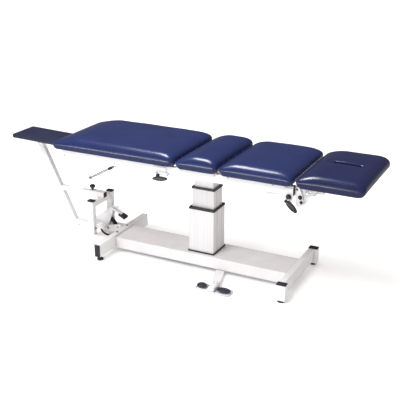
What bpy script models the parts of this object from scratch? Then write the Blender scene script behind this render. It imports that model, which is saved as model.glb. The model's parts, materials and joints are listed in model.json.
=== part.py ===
"""Height-adjustable medical exam and traction table, four cushion sections.

Metres, +Z up, +X towards the head end ("right"), -Y is the front side; floor at z = 0.
Every shape is written in the column's frame (column axis at x = y = 0) and hangs from
the empty "table_origin", which centres the length of the table on the world origin.
"""
import bpy
import bmesh
from collections import namedtuple
from math import sin, cos, pi, radians, hypot
from mathutils import Matrix, Vector

for old in list(bpy.data.objects):
    bpy.data.objects.remove(old, do_unlink=True)

# ------------------------------------------------------------------ dimensions
# A name in _XS, _YS or _ZS is a (low, high) range along that axis.
GAP = 0.0003                       # clearance between touching pieces
SIDES = (("front", -1), ("rear", 1))

# boards and cushions, all four sections
BOARD_T = 0.0120
BOARD_Z = 0.7450                   # underside of the boards
BOARD_REST = BOARD_Z - GAP         # top of whatever carries a board
PAD_W = 0.610
PAD_Z = BOARD_Z + BOARD_T + GAP    # underside of the cushions
PAD_T = 0.0877                     # cushion thickness at the crown
PAD_GAP, HEAD_PAD_GAP = 0.0100, 0.0140
LEG_PAD_XS = (-1.0180, -0.0969)
SEAT_PAD_XS = (LEG_PAD_XS[1] + PAD_GAP, 0.1996)
BACK_PAD_XS = (SEAT_PAD_XS[1] + PAD_GAP, 0.6862)
HEAD_PAD_XS = (BACK_PAD_XS[1] + HEAD_PAD_GAP, 1.1140)

# deck frame under the cushions
RAIL_Y, RAIL_W = 0.2668, 0.0250    # outer face and width of a side rail
RAIL_Z, RAIL_H = 0.6820, 0.0600
RAIL_XS = (-0.9450, 0.6830)
RAIL_ZS = (RAIL_Z, RAIL_Z + RAIL_H)
RAIL_WALL = 0.0040

# telescopic column: half sizes (x, y) of the stages
LOWER, MIDDLE, UPPER = (0.0900, 0.0869), (0.0800, 0.0654), (0.0690, 0.0545)
LOWER_TOP, MIDDLE_TOP = 0.4067, 0.5430
STAGE_R = 0.005                    # corner radius of a stage
COLLAR_H = 0.0117

# base
BAR_X, BAR_W, BAR_Y = -0.6890, 0.0430, 0.3200
BAR_Z, BAR_H = 0.0300, 0.0890
BAR_XS = (BAR_X, BAR_X + BAR_W - GAP)
BAR_ZS = (BAR_Z, BAR_Z + BAR_H)
BEAM_XS = (BAR_X + BAR_W + GAP, 0.6204)
BEAM_Y, BEAM_Z, BEAM_TOP, BEAM_WALL = 0.1227, 0.0273, 0.1054, 0.0040
LEG_X, LEG_XE = BEAM_XS[1] + GAP, 0.6840
LEG_YI, LEG_Y = 0.2820, 0.3239     # inner and outer faces
LEG_Z, LEG_TOP = 0.0150, 0.1165

# traction stand
POST_XS = (-0.8600, -0.8120)
POST_YI, POST_Y, POST_TOP = 0.1010, 0.1390, 0.3370
ARM = 0.0180                       # half size of the stand's square tube
ARM_HI, ARM_LO = 0.3520, 0.1080    # centre heights of the arms
ARMS = (("upper", ARM_HI, -0.8120), ("lower", ARM_LO, -0.8180))   # name, z, +X end
SLEEVE = 0.0225                    # half size of the sleeves round the arms
KNOB_X = -0.9050
STRUT_LEAN = -0.481                # dx/dz of the slanted strut
STRUT_X0, STRUT_Z0 = -1.0458, 0.0800
SHELF_X, SHELF_L, SHELF_W, SHELF_T = -1.2990, 0.385, 0.246, 0.024
SHELF_Z, SHELF_TILT = 0.7198, radians(1.5)
SHELF_EDGE = 0.004                 # chamfer round its faces

# transport wheel; axes are (x, z)
WHEEL_R, WHEEL_Y = 0.0750, 0.0600
WHEEL_AX = (-0.8200, 0.0890)
WHEEL_LEVER_AX = (-0.9300, 0.1280)

# head section and its gas spring
HINGE = (0.6994, 0.7300)
GAS_FIXED = (0.5000, 0.6550)
GAS_MOVING = (0.8400, 0.7040)
GAS_Y = -0.2000

# levers on the front rail and rollers of the leg section
LEG_LOCK_AX = (-0.5640, 0.6690)
LEG_LOCK_Y = -0.2360
SECTION_LOCK_AX = (-0.2225, 0.6900)
HEAD_LOCK_AX = (0.6640, 0.6700)
LOCK_Y = -0.2800
ROLLER_LEFT_X, ROLLER_RIGHT_X, ROLLER_Z = -0.80, -0.25, 0.7120

# foot switch
SWITCH_Y = -0.3520
PLUG_Y = 0.4150                    # tip of the mains plug; the switch reaches -PLUG_Y

# the table's ends are the shelf's far edge and the head cushion's end
SHELF_END = SHELF_X - (SHELF_L / 2) * cos(SHELF_TILT) \
    - (SHELF_T / 2 - SHELF_EDGE) * sin(SHELF_TILT)
ORIGIN_X = -(SHELF_END + HEAD_PAD_XS[1]) / 2

# ------------------------------------------------------------------ materials
Finish = namedtuple("Finish", "name colour roughness metallic", defaults=(0.0,))
PAINT = Finish("painted_frame", colour=(0.83, 0.82, 0.81), roughness=0.35)
VINYL = Finish("navy_vinyl", colour=(0.020, 0.030, 0.155), roughness=0.38)
LAMINATE = Finish("shelf_laminate", colour=(0.008, 0.009, 0.030), roughness=0.45)
PLASTIC = Finish("black_plastic", colour=(0.016, 0.014, 0.024), roughness=0.45)
RUBBER = Finish("black_rubber", colour=(0.020, 0.019, 0.022), roughness=0.75)
STEEL = Finish("bright_steel", colour=(0.62, 0.62, 0.64), roughness=0.25, metallic=1.0)
PLY = Finish("plywood", colour=(0.45, 0.31, 0.18), roughness=0.70)
ALLOY = Finish("column_alloy", colour=(0.78, 0.77, 0.77), roughness=0.40)
MOTOR = Finish("motor_grey", colour=(0.20, 0.21, 0.23), roughness=0.50)
HUB = Finish("hub_plastic", colour=(0.72, 0.71, 0.70), roughness=0.45)


def material(owner, finish):
    mat = bpy.data.materials.new(owner + "_" + finish.name)
    mat.use_nodes = True
    shader = mat.node_tree.nodes["Principled BSDF"]
    shader.inputs["Base Color"].default_value = (*finish.colour, 1.0)
    shader.inputs["Roughness"].default_value = finish.roughness
    shader.inputs["Metallic"].default_value = finish.metallic
    mat.diffuse_color = (*finish.colour, 1.0)
    return mat


# ------------------------------------------------------------------ joints
TABLE = bpy.data.collections.new("exam_table")
HELPERS = bpy.data.collections.new("cutters")
for collection in (TABLE, HELPERS):
    bpy.context.scene.collection.children.link(collection)

# moving body, the body that carries it, a point on its joint
JOINTS = (
    ("middle_stage", "base", (0, 0, 0.30)),
    ("top_frame", "middle_stage", (0, 0, 0.60)),
    ("head_section", "top_frame", (HINGE[0], 0, HINGE[1])),
    ("gas_cylinder", "top_frame", (GAS_FIXED[0], GAS_Y, GAS_FIXED[1])),
    ("gas_rod", "head_section", (GAS_MOVING[0], GAS_Y, GAS_MOVING[1])),
    ("leg_section", "top_frame", (-0.55, 0, ROLLER_Z)),
    ("roller_axle_left", "leg_section", (ROLLER_LEFT_X, 0, ROLLER_Z)),
    ("roller_axle_right", "leg_section", (ROLLER_RIGHT_X, 0, ROLLER_Z)),
    ("leg_lock", "top_frame", (LEG_LOCK_AX[0], LEG_LOCK_Y, LEG_LOCK_AX[1])),
    ("section_lock", "top_frame", (SECTION_LOCK_AX[0], LOCK_Y, SECTION_LOCK_AX[1])),
    ("head_lock", "top_frame", (HEAD_LOCK_AX[0], LOCK_Y, HEAD_LOCK_AX[1])),
    ("traction_stand", "base", (-0.85, 0, ARM_HI)),
    ("clamp_knob", "base", (KNOB_X, 0, 0.3750)),
    ("wheel_lever", "base", (WHEEL_LEVER_AX[0], WHEEL_Y, WHEEL_LEVER_AX[1])),
    ("wheel", "wheel_lever", (WHEEL_AX[0], WHEEL_Y, WHEEL_AX[1])),
    ("pedal_raise", "base", (0.1860, SWITCH_Y, 0.0140)),
    ("pedal_lower", "base", (0.2450, SWITCH_Y, 0.0140)),
)
EMPTY = {}                         # body -> its empty
POSITION = {}                      # empty's name -> place in the column's frame


def add_empty(body, name, position):
    empty = bpy.data.objects.new(name, None)
    empty.empty_display_size = 0.05
    TABLE.objects.link(empty)
    EMPTY[body] = empty
    POSITION[name] = Vector(position)
    return empty


add_empty("base", "table_origin", (0, 0, 0)).location = (ORIGIN_X, 0, 0)
for body, carrier, position in JOINTS:
    joint = add_empty(body, body + "_axis", position)
    joint.parent = EMPTY[carrier]
    joint.location = POSITION[joint.name] - POSITION[joint.parent.name]


# ------------------------------------------------------------------ object tools
def mesh_object(name, bm, parent, collection):
    """An object from a bmesh written in the column's frame; frees the bmesh."""
    bmesh.ops.translate(bm, verts=bm.verts, vec=-POSITION[parent.name])
    bmesh.ops.recalc_face_normals(bm, faces=bm.faces)
    mesh = bpy.data.meshes.new(name)
    bm.to_mesh(mesh)
    bm.free()
    ob = bpy.data.objects.new(name, mesh)
    ob.parent = parent
    collection.objects.link(ob)
    return ob


def part(name, bm, body, finish):
    ob = mesh_object(name, bm, EMPTY[body], TABLE)
    ob.data.materials.append(material(name, finish))
    ob.data.shade_smooth()
    ob.data.set_sharp_from_angle(angle=radians(32))
    return ob


helper_count = 0


def boolean(ob, bm, prefix, operation):
    """Combine a part with a hidden, numbered helper."""
    global helper_count
    helper_count += 1
    helper = mesh_object("%s_%02d" % (prefix, helper_count), bm, ob.parent, HELPERS)
    helper.hide_render = True
    helper.display_type = "WIRE"
    modifier = ob.modifiers.new(operation.lower(), "BOOLEAN")
    modifier.operation = operation
    modifier.solver = "EXACT"
    modifier.object = helper


def cut(ob, bm):
    boolean(ob, bm, "cutter", "DIFFERENCE")


def join(ob, bm):
    boolean(ob, bm, "joined", "UNION")


# ------------------------------------------------------------------ ranges
def about(half, mid=0.0):
    return (mid - half, mid + half)


def grow(ends, by):
    return (ends[0] - by, ends[1] + by)


def on_side(sign, inner, outer):
    """The y range between two distances from the middle, front (-1) or rear (1)."""
    return tuple(sorted((sign * inner, sign * outer)))


# ------------------------------------------------------------------ shapes
def box(xs, ys, zs, bevel=0.0, seg=1, edges="all", turn=None):
    """A box, bevelled on all edges or on those along one axis, turned on its centre."""
    bm = bmesh.new()
    bmesh.ops.create_cube(bm, size=1.0)
    bmesh.ops.scale(bm, verts=bm.verts,
                    vec=(xs[1] - xs[0], ys[1] - ys[0], zs[1] - zs[0]))
    if bevel:
        chosen = list(bm.edges)
        if edges != "all":
            k = "xyz".index(edges)
            chosen = [e for e in chosen
                      if abs((e.verts[0].co - e.verts[1].co)[k]) > 1e-6]
        bmesh.ops.bevel(bm, geom=chosen, offset=bevel, segments=seg, profile=0.5,
                        affect="EDGES", clamp_overlap=True)
    if turn:
        bmesh.ops.rotate(bm, verts=bm.verts, cent=(0, 0, 0), matrix=turn)
    bmesh.ops.translate(bm, verts=bm.verts, vec=((xs[0] + xs[1]) / 2,
                                                 (ys[0] + ys[1]) / 2,
                                                 (zs[0] + zs[1]) / 2))
    return bm


def flat_edges(bm):
    """The edges that lie level."""
    return [e for e in bm.edges if abs(e.verts[0].co.z - e.verts[1].co.z) < 1e-7]


def rod(start, end, radius, seg=16, bevel=0.0):
    start, end = Vector(start), Vector(end)
    run = end - start
    bm = bmesh.new()
    bmesh.ops.create_cone(bm, cap_ends=True, segments=seg, radius1=radius,
                          radius2=radius, depth=run.length)
    if bevel:
        bmesh.ops.bevel(bm, geom=flat_edges(bm), offset=bevel, segments=1, profile=0.5,
                        affect="EDGES", clamp_overlap=True)
    bmesh.ops.rotate(bm, verts=bm.verts, cent=(0, 0, 0),
                     matrix=run.to_track_quat("Z", "Y").to_matrix())
    bmesh.ops.translate(bm, verts=bm.verts, vec=(start + end) / 2)
    return bm


def pin(axis, y0, y1, radius, seg):
    """A rod along y through the point (x, z)."""
    x, z = axis
    return rod((x, y0, z), (x, y1, z), radius, seg)


def ball(centre, radius):
    bm = bmesh.new()
    bmesh.ops.create_uvsphere(bm, u_segments=12, v_segments=8, radius=radius)
    bmesh.ops.translate(bm, verts=bm.verts, vec=centre)
    return bm


def guide_object(data):
    guide = bpy.data.objects.new("guide", data)
    HELPERS.objects.link(guide)
    return guide


def bake(guide, matrix):
    """Evaluate a guide object, weld it, and hand it back as a bmesh."""
    depsgraph = bpy.context.evaluated_depsgraph_get()
    mesh = bpy.data.meshes.new_from_object(guide.evaluated_get(depsgraph))
    bm = bmesh.new()
    bm.from_mesh(mesh)
    bmesh.ops.remove_doubles(bm, verts=bm.verts, dist=1e-6)
    bmesh.ops.transform(bm, matrix=matrix, verts=bm.verts)
    bpy.data.objects.remove(guide, do_unlink=True)
    bpy.data.meshes.remove(mesh)
    return bm


def add_polyline(curve, points):
    spline = curve.splines.new("POLY")
    spline.points.add(len(points) - 1)
    for target, point in zip(spline.points, points):
        target.co = (*point, 1)
    return spline


def plate(loops, thick, matrix):
    """A flat plate: the first loop is its edge, the others are holes."""
    curve = bpy.data.curves.new("guide", "CURVE")
    curve.dimensions = "2D"
    curve.fill_mode = "BOTH"
    curve.extrude = thick / 2
    for loop in loops:
        add_polyline(curve, [(u, v, 0) for u, v in loop]).use_cyclic_u = True
    return bake(guide_object(curve), matrix)


def plate_xz(loops, y0, y1):
    upright = Matrix.Rotation(radians(90), 4, "X")
    return plate(loops, y1 - y0, Matrix.Translation((0, (y0 + y1) / 2, 0)) @ upright)


def plate_xy(loops, z0, z1):
    return plate(loops, z1 - z0, Matrix.Translation((0, 0, (z0 + z1) / 2)))


def arc(cx, cy, radius, start, sweep, n):
    """n + 1 points on an arc, angles in degrees."""
    angles = [radians(start + sweep * i / n) for i in range(n + 1)]
    return [(cx + radius * cos(a), cy + radius * sin(a)) for a in angles]


def circle(centre, radius, n):
    return [(centre[0] + radius * cos(2 * pi * i / n),
             centre[1] + radius * sin(2 * pi * i / n)) for i in range(n)]


def rounded(xs, ys, radius, n=3):
    """A rectangle with round corners; its first corner is at high x, low y."""
    (x0, x1), (y0, y1) = grow(xs, -radius), grow(ys, -radius)
    points = []
    for cx, cy, start in ((x1, y0, -90), (x1, y1, 0), (x0, y1, 90), (x0, y0, 180)):
        points += arc(cx, cy, radius, start, 90, n)
    return points


def stadium(cx, length, width):
    radius = width / 2
    return (arc(cx + length / 2 - radius, 0, radius, -90, 180, 6)
            + arc(cx - length / 2 + radius, 0, radius, 90, 180, 6))


def wire(points, radius, res):
    curve = bpy.data.curves.new("guide", "CURVE")
    curve.dimensions = "3D"
    curve.bevel_depth = radius
    curve.bevel_resolution = res
    curve.use_fill_caps = True
    add_polyline(curve, points)
    return bake(guide_object(curve), Matrix.Identity(4))


def turned(profile, centre, axis, steps):
    """Spin a chain of (radius, height) pairs about an axis."""
    mesh = bpy.data.meshes.new("guide")
    bm = bmesh.new()
    verts = [bm.verts.new((r, 0, h)) for r, h in profile]
    for pair in zip(verts, verts[1:]):
        bm.edges.new(pair)
    bm.to_mesh(mesh)
    bm.free()
    guide = guide_object(mesh)
    screw = guide.modifiers.new("turn", "SCREW")
    screw.axis = "Z"
    screw.steps = screw.render_steps = steps
    screw.use_merge_vertices = True
    screw.merge_threshold = 0.00002
    turn = Vector(axis).to_track_quat("Z", "Y").to_matrix().to_4x4()
    return bake(guide, Matrix.Translation(centre) @ turn)


# ------------------------------------------------------------------ base
def base_beam():
    beam = part("base_beam", box(BEAM_XS, about(BEAM_Y), (BEAM_Z, BEAM_TOP),
                                 0.003, 2, "x"), "base", PAINT)
    # hollow, open below
    cut(beam, box(grow(BEAM_XS, 0.01), about(BEAM_Y - BEAM_WALL),
                  (BEAM_Z - 0.01, BEAM_TOP - BEAM_WALL)))


def left_crossbar():
    wall, cap_inset, plug_inset = 0.003, 0.0005, 0.0035
    bar = part("left_crossbar", box(BAR_XS, about(BAR_Y), BAR_ZS, 0.003, 2, "y"),
               "base", PAINT)
    cut(bar, box(grow(BAR_XS, -wall), about(BAR_Y + 0.01), grow(BAR_ZS, -wall)))
    for side, sign in SIDES:
        cap = part("left_crossbar_cap_" + side,
                   box(grow(BAR_XS, -cap_inset), on_side(sign, BAR_Y + GAP, BAR_Y + 0.0042),
                       grow(BAR_ZS, -cap_inset), 0.0015), "base", PLASTIC)
        join(cap, box(grow(BAR_XS, -plug_inset),
                      on_side(sign, BAR_Y - 0.015, BAR_Y + 0.002),
                      grow(BAR_ZS, -plug_inset)))


def right_foot_frame():
    frame = part("right_foot_frame",
                 box((LEG_X, LEG_XE - 0.024), about(0.284), (BAR_Z, LEG_TOP - 0.0006),
                     0.003, 2, "y"), "base", PAINT)
    for _, sign in SIDES:
        join(frame, box((LEG_X - 0.0001, LEG_XE), on_side(sign, LEG_YI, LEG_Y),
                        (LEG_Z, LEG_TOP), 0.003, 1, "z"))
    for side, sign in SIDES:
        part("right_leg_cap_" + side,
             box((LEG_X + 0.0001, LEG_XE + 0.0004),
                 grow(on_side(sign, LEG_YI, LEG_Y), 0.0004),
                 (LEG_TOP + GAP, LEG_TOP + 0.0075), 0.0022), "base", PLASTIC)


def levelling_feet():
    stem = 0.0070
    disc = [(0.0205, 0.0120), (0.0225, 0.0100), (0.0225, 0.0030), (0.0200, 0.0), (0, 0)]
    # end, x, distance from the middle, underside of the part above
    for end, x, y, above in (("left", BAR_X + BAR_W / 2, 0.290, BAR_Z),
                             ("right", (LEG_X + LEG_XE) / 2, 0.303, LEG_Z)):
        top = above - GAP
        profile = [(0, top), (stem, top), (stem, 0.0120)] + disc
        for side, sign in SIDES:
            part("levelling_foot_%s_%s" % (end, side),
                 turned(profile, (x, sign * y, 0), (0, 0, 1), 14), "base", RUBBER)


# ------------------------------------------------------------------ column
def stage(name, body, half, wall, zs, grooves=()):
    """Rectangular tube with round corners; grooves run down its +X face."""
    hx, hy = half
    depth = 0.0022
    edge = rounded(about(hx), about(hy), STAGE_R)
    notches = []
    for y in grooves:
        notches += [(hx, y - 0.004), (hx - depth, y - 0.003),
                    (hx - depth, y + 0.003), (hx, y + 0.004)]
    edge[4:4] = notches            # after the four points of the first corner
    inner = rounded(about(hx - wall), about(hy - wall), max(STAGE_R - wall, 0.002))
    part(name, plate_xy([edge, inner], *zs), body, ALLOY)


def collar(name, body, outer, lip, corner, inner, clearance, z, height):
    """A ring that stands `lip` proud of one stage and fits round another."""
    part(name,
         plate_xy([rounded(about(outer[0] + lip), about(outer[1] + lip), corner),
                   rounded(about(inner[0] + clearance), about(inner[1] + clearance),
                           STAGE_R + clearance)], z + GAP, z + height), body, PLASTIC)


def column():
    collar("column_foot_collar", "base", LOWER, 0.0060, 0.008, LOWER, GAP,
           BEAM_TOP, 0.0085)
    stage("column_lower_stage", "base", LOWER, 0.0040, (BEAM_TOP + GAP, LOWER_TOP),
          (-0.035, 0.035))
    collar("column_lower_collar", "base", LOWER, 0.0030, 0.007, MIDDLE, 0.0005,
           LOWER_TOP, COLLAR_H)
    stage("column_middle_stage", "middle_stage", MIDDLE, 0.0035, (0.2350, MIDDLE_TOP),
          (-0.026, 0.026))
    collar("column_middle_collar", "middle_stage", MIDDLE, 0.0040, 0.007, UPPER, 0.0005,
           MIDDLE_TOP, COLLAR_H)
    stage("column_upper_stage", "top_frame", UPPER, 0.0030, (0.3600, RAIL_Z - GAP))


def lift():
    """Nested tubes and rod inside the column."""
    part("lift_outer_tube",
         turned([(0, 0.1100), (0.0195, 0.1100), (0.0195, 0.3900), (0.0250, 0.3900),
                 (0.0250, 0.1060), (0, 0.1060)], (0, 0, 0), (0, 0, 1), 16),
         "base", MOTOR)
    part("lift_middle_tube",
         turned([(0.0140, 0.2500), (0.0140, 0.5350), (0.0190, 0.5350), (0.0190, 0.2500),
                 (0.0140, 0.2500)], (0, 0, 0), (0, 0, 1), 16), "middle_stage", STEEL)
    part("lift_rod", rod((0, 0, 0.4050), (0, 0, RAIL_Z - GAP), 0.0110, 14),
         "top_frame", STEEL)


def motor_and_control():
    motor_z = 0.0660
    motor = part("lift_motor", rod((0.030, 0, motor_z), (0.175, 0, motor_z), 0.0300, 20,
                                   bevel=0.003), "base", MOTOR)
    join(motor, box((0.012, 0.050), about(0.026), (0.0400, 0.0985), 0.003))
    part("control_box", box((-0.260, -0.110), about(0.055), (0.0560, 0.1008), 0.003),
         "base", MOTOR)


# ------------------------------------------------------------------ stand, fixed half
def stand_base_frame():
    beam_zs = (0.0350, 0.0950)
    frame = part("stand_base_frame",
                 box((-0.9480, BAR_X - GAP), (POST_YI, POST_Y), beam_zs, 0.003, 1, "x"),
                 "base", PAINT)
    join(frame, box((-0.8610, BAR_X - GAP), (-POST_Y, -POST_YI), beam_zs, 0.003, 1, "x"))
    for _, sign in SIDES:
        join(frame, box(POST_XS, on_side(sign, POST_YI + 0.0004, POST_Y - 0.0004),
                        (0.0800, POST_TOP), 0.004, 1, "z"))
    # crossbars between the posts and at the far end, then the sleeves round the arms
    for xs, ys, zs, edges in (
            ((-0.8530, -0.8190), about(0.1200), (0.2900, 0.3310), "y"),
            ((-0.9470, -0.9120), (-0.0215, 0.1200), (0.0480, 0.0880), "y"),
            ((-0.9250, -0.8000), about(SLEEVE), about(SLEEVE, ARM_HI), "x"),
            ((-0.9450, -0.8750), about(SLEEVE), about(SLEEVE, ARM_LO), "x")):
        join(frame, box(xs, ys, zs, 0.003, 1, edges))
    # two ears for the wheel lever, (x, z)
    ear = [(-0.9455, 0.0840), (-0.9135, 0.0840), (-0.9195, 0.1360),
           (-0.9250, 0.1400), (-0.9350, 0.1400), (-0.9405, 0.1360)]
    for y in (0.0310, 0.0830):
        join(frame, plate_xz([ear], y, y + 0.005))
    for z in (ARM_HI, ARM_LO):
        cut(frame, box((-0.9800, -0.7900), about(ARM + 0.0005), about(ARM + 0.0005, z)))
    cut(frame, pin(WHEEL_LEVER_AX, 0.0250, 0.0960, 0.0063, 12))
    cut(frame, rod((KNOB_X, 0, 0.3600), (KNOB_X, 0, 0.3900), 0.0056, 12))


def stand_post_caps():
    for side, sign in SIDES:
        part("stand_post_cap_" + side,
             box(grow(POST_XS, 0.0006), grow(on_side(sign, POST_YI, POST_Y), 0.0006),
                 (POST_TOP + GAP, POST_TOP + 0.0110), 0.0035, 2), "base", PLASTIC)


# ------------------------------------------------------------------ foot switch, cables
def footswitch_base():
    base = part("footswitch_base",
                plate_xy([rounded((0.0920, 0.1860), about(0.0420, SWITCH_Y), 0.030, 4)],
                         0.0015, 0.0110), "base", PAINT)
    join(base, plate_xy([rounded((0.2400, 0.3420), about(0.0480, SWITCH_Y), 0.036, 4)],
                        0.0016, 0.0111))
    join(base, box((0.1700, 0.2600), (SWITCH_Y - 0.0160, SWITCH_Y + 0.0300),
                   (0.0020, 0.0105), 0.002))
    join(base, box((0.1975, 0.2370), (-PLUG_Y, SWITCH_Y + 0.0320), (0.0012, 0.0300),
                   0.005, 2))


def footswitch_arm():
    path = [(0.2000, SWITCH_Y + 0.0325, 0.0210), (0.1940, -0.3050, 0.0210),
            (0.1555, -0.2050, 0.0195), (0.1330, -0.1400, 0.0190),
            (0.1210, -0.1060, 0.0190), (0.1190, -0.1000, 0.0260),
            (0.1190, -0.1000, 0.1005)]
    part("footswitch_arm", wire(path, 0.0065, 2), "base", PAINT)


def power_cord():
    path = [(-0.0600, 0.1040, 0.0600), (-0.0600, 0.1080, 0.0190),
            (-0.0620, 0.1420, 0.0150)]
    for i in range(13):            # one wave along the floor
        t = i / 12
        path.append((-0.0650 - 0.20 * t + 0.030 * sin(2 * pi * t),
                     0.165 + 0.195 * t, 0.0048))
    cord = part("power_cord", wire(path, 0.0040, 1), "base", RUBBER)
    x, y, _ = path[-1]
    join(cord, box(about(0.016, x), (y - 0.004, PLUG_Y - 0.018), (0.0006, 0.0260), 0.004))
    for prong in (-0.0070, 0.0070):
        join(cord, box(about(0.0020, x + prong), (y + 0.010, PLUG_Y), (0.0100, 0.0160)))


# ------------------------------------------------------------------ deck frame
# cross members: x range and top
CROSS_MEMBERS = (
    ((-0.9440, -0.9210), 0.6905), ((-0.5600, -0.5200), 0.6905),
    ((-0.0950, -0.0600), 0.7200), ((0.0600, 0.0950), 0.7200),
    ((0.2800, 0.3150), 0.7200), ((0.5000, 0.5350), 0.7200),
)
LEVER_PLATE_YS = (-0.2706, -0.2660)
# outlines, (x, z)
SECTION_LOCK_PLATE = [(-0.2400, 0.6780), (-0.1650, 0.6780), (-0.1600, 0.6830),
                      (-0.1600, 0.7300), (-0.2450, 0.7300), (-0.2450, 0.6830)]
HEAD_LOCK_PLATE = [(0.6300, 0.6620), (0.6400, 0.6560), (0.6760, 0.6560),
                   (0.6825, 0.6620), (0.6825, 0.7300), (0.6300, 0.7300)]
LEG_LOCK_PLATE = [(-0.5770, 0.6640), (-0.5710, 0.6580), (-0.5570, 0.6580),
                  (-0.5510, 0.6640), (-0.5470, 0.6845), (-0.5810, 0.6845)]
GAS_FIXED_PLATE = [(0.4900, 0.6500), (0.4940, 0.6460), (0.5060, 0.6460),
                   (0.5100, 0.6500), (0.5330, 0.6860), (0.5020, 0.6860)]
GAS_MOVING_PLATE = [(0.8280, 0.7270), (0.8310, 0.7010), (0.8350, 0.6950),
                    (0.8450, 0.6950), (0.8490, 0.7010), (0.8520, 0.7270)]


def deck_rails():
    """Two C-section rails, open towards the middle, with their cross members."""
    inner = RAIL_Y - RAIL_W
    front = box(RAIL_XS, (-RAIL_Y, -inner), RAIL_ZS, 0.003, 1, "x")
    frame = part("deck_frame", front, "top_frame", PAINT)
    join(frame, box(RAIL_XS, (inner, RAIL_Y), RAIL_ZS, 0.003, 1, "x"))
    for _, sign in SIDES:
        cut(frame, box(grow(RAIL_XS, 0.01), on_side(sign, inner - 0.01, RAIL_Y - RAIL_WALL),
                       grow(RAIL_ZS, -RAIL_WALL)))
    for xs, top in CROSS_MEMBERS:
        join(frame, box(xs, about(0.2650), (0.6836, top)))
    # plate on top of the column
    join(frame, box(about(0.1100), about(0.1500), (0.6822, 0.6895)))
    # spacers that carry the fixed boards
    for x in (-0.0700, 0.1600, 0.2500, 0.5400):
        for _, sign in SIDES:
            join(frame, box((x, x + 0.030), on_side(sign, 0.2450, 0.2640),
                            (RAIL_ZS[1] - 0.002, BOARD_REST)))
    return frame


def add_hinge_lugs(frame):
    x, z = HINGE
    radius = 0.0137
    nose = [(x + radius * cos(radians(a)), z + radius * sin(radians(a)))
            for a in (-50, -20, 10, 40, 70, 90)]
    lug = [(0.6000, 0.6850), (0.6600, 0.6850)] + nose + [(0.6000, 0.7435)]
    for _, sign in SIDES:
        join(frame, plate_xz([lug], *on_side(sign, 0.2370, 0.2430)))
        cut(frame, pin(HINGE, *on_side(sign, 0.2300, 0.2500), 0.0064, 14))


def add_lever_mounts(frame):
    """Plates on the front rail and the pins the levers turn on."""
    for outline in (SECTION_LOCK_PLATE, HEAD_LOCK_PLATE):
        join(frame, plate_xz([outline], *LEVER_PLATE_YS))
    for axis in (SECTION_LOCK_AX, HEAD_LOCK_AX):
        join(frame, pin(axis, -0.2690, -0.2890, 0.0040, 12))
    join(frame, plate_xz([LEG_LOCK_PLATE], -0.2495, -0.2455))
    join(frame, pin(LEG_LOCK_AX, -0.2480, -0.2265, 0.0040, 12))


def add_fork(ob, outline, axis, half_width):
    """Two plates and a pin that hold one eye of the gas spring."""
    thick = 0.004
    for y in (GAS_Y - half_width, GAS_Y + half_width - thick):
        join(ob, plate_xz([outline], y, y + thick))
    join(ob, pin(axis, *about(half_width - 0.002, GAS_Y), 0.0035, 10))


def deck_frame():
    frame = deck_rails()
    add_hinge_lugs(frame)
    add_lever_mounts(frame)
    add_fork(frame, GAS_FIXED_PLATE, GAS_FIXED, 0.0170)


def deck_rail_caps():
    for side, sign in SIDES:
        part("deck_rail_cap_" + side,
             box((RAIL_XS[1] + GAP, RAIL_XS[1] + 0.0045),
                 on_side(sign, RAIL_Y - RAIL_W + 0.0018, RAIL_Y - 0.0003),
                 grow(RAIL_ZS, -0.0003), 0.0015), "top_frame", PLASTIC)


def head_hinge_pin():
    part("head_hinge_pin", pin(HINGE, -0.2460, 0.2460, 0.0060, 14), "top_frame", STEEL)


# ------------------------------------------------------------------ boards and cushions
PAD_BAND = (0.0300, 0.0200)        # top and bottom of the widest band, above the underside
PAD_R = 0.040                      # corner radius in plan
# from the band to the crown: share of the foot-end roll, share of the head-end roll,
# inset of each side, height above the underside
PAD_ROLL = (
    (0.172, 0.040, 0.0030, 0.0440), (0.406, 0.164, 0.0110, 0.0590),
    (0.667, 0.383, 0.0240, 0.0710), (0.907, 0.708, 0.0420, 0.0785),
    (1.000, 1.000, 0.0700, 0.0825), (1.120, 1.250, 0.1100, 0.0860),
    (1.250, 1.500, 0.1500, PAD_T),
)
# from the band to the underside: inset of each side, height above the underside
PAD_HEM = ((0.0020, 0.0110), (0.0055, 0.0040), (0.0090, 0.0))
HEM_END = 1.6                      # inset of the ends over that of the sides


def cushion(name, body, xs, foot_roll, head_roll):
    """Soft pad: a slab with round corners, its top inset step by step towards a
    crown, with a roll at the foot end, another at the head end, and rounded sides."""
    x0 = xs[0]
    length = xs[1] - x0
    top, bottom = PAD_BAND
    bm = box(xs, about(PAD_W / 2), (PAD_Z + bottom, PAD_Z + top), PAD_R, 5, "z")
    bm.normal_update()
    crown = [(foot * foot_roll, head * head_roll, side, height)
             for foot, head, side, height in PAD_ROLL]
    hem = [(side * HEM_END, side * HEM_END, side, height) for side, height in PAD_HEM]
    for way, steps in ((1, crown), (-1, hem)):
        face = max(bm.faces, key=lambda f: f.normal.z * way)
        edge = [v.co.copy() for v in face.verts]
        room = max(foot + head for foot, head, _, _ in steps)
        fit = min(1.0, (length - 0.030) / room)
        for foot, head, side, height in steps:
            # the inset only adds a ring of faces; its vertices are placed below
            bmesh.ops.inset_individual(bm, faces=[face], thickness=0.0005)
            scale_x = 1 - (foot + head) * fit / length
            scale_y = 1 - 2 * side / PAD_W
            for vert, start in zip(face.verts, edge):
                vert.co = (x0 + foot * fit + (start.x - x0) * scale_x,
                           start.y * scale_y, PAD_Z + height)
    return part(name, bm, body, VINYL)


def pad(section, body, xs, foot_roll, head_roll, end_inset=0.022, holes=()):
    """The plywood board and the cushion on it; returns the cushion."""
    edge = rounded((xs[0] + 0.022, xs[1] - end_inset), about(PAD_W / 2 - 0.013), 0.025)
    part(section + "_board", plate_xy([edge, *holes], BOARD_Z, BOARD_Z + BOARD_T),
         body, PLY)
    return cushion(section + "_cushion", body, xs, foot_roll, head_roll)


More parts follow.
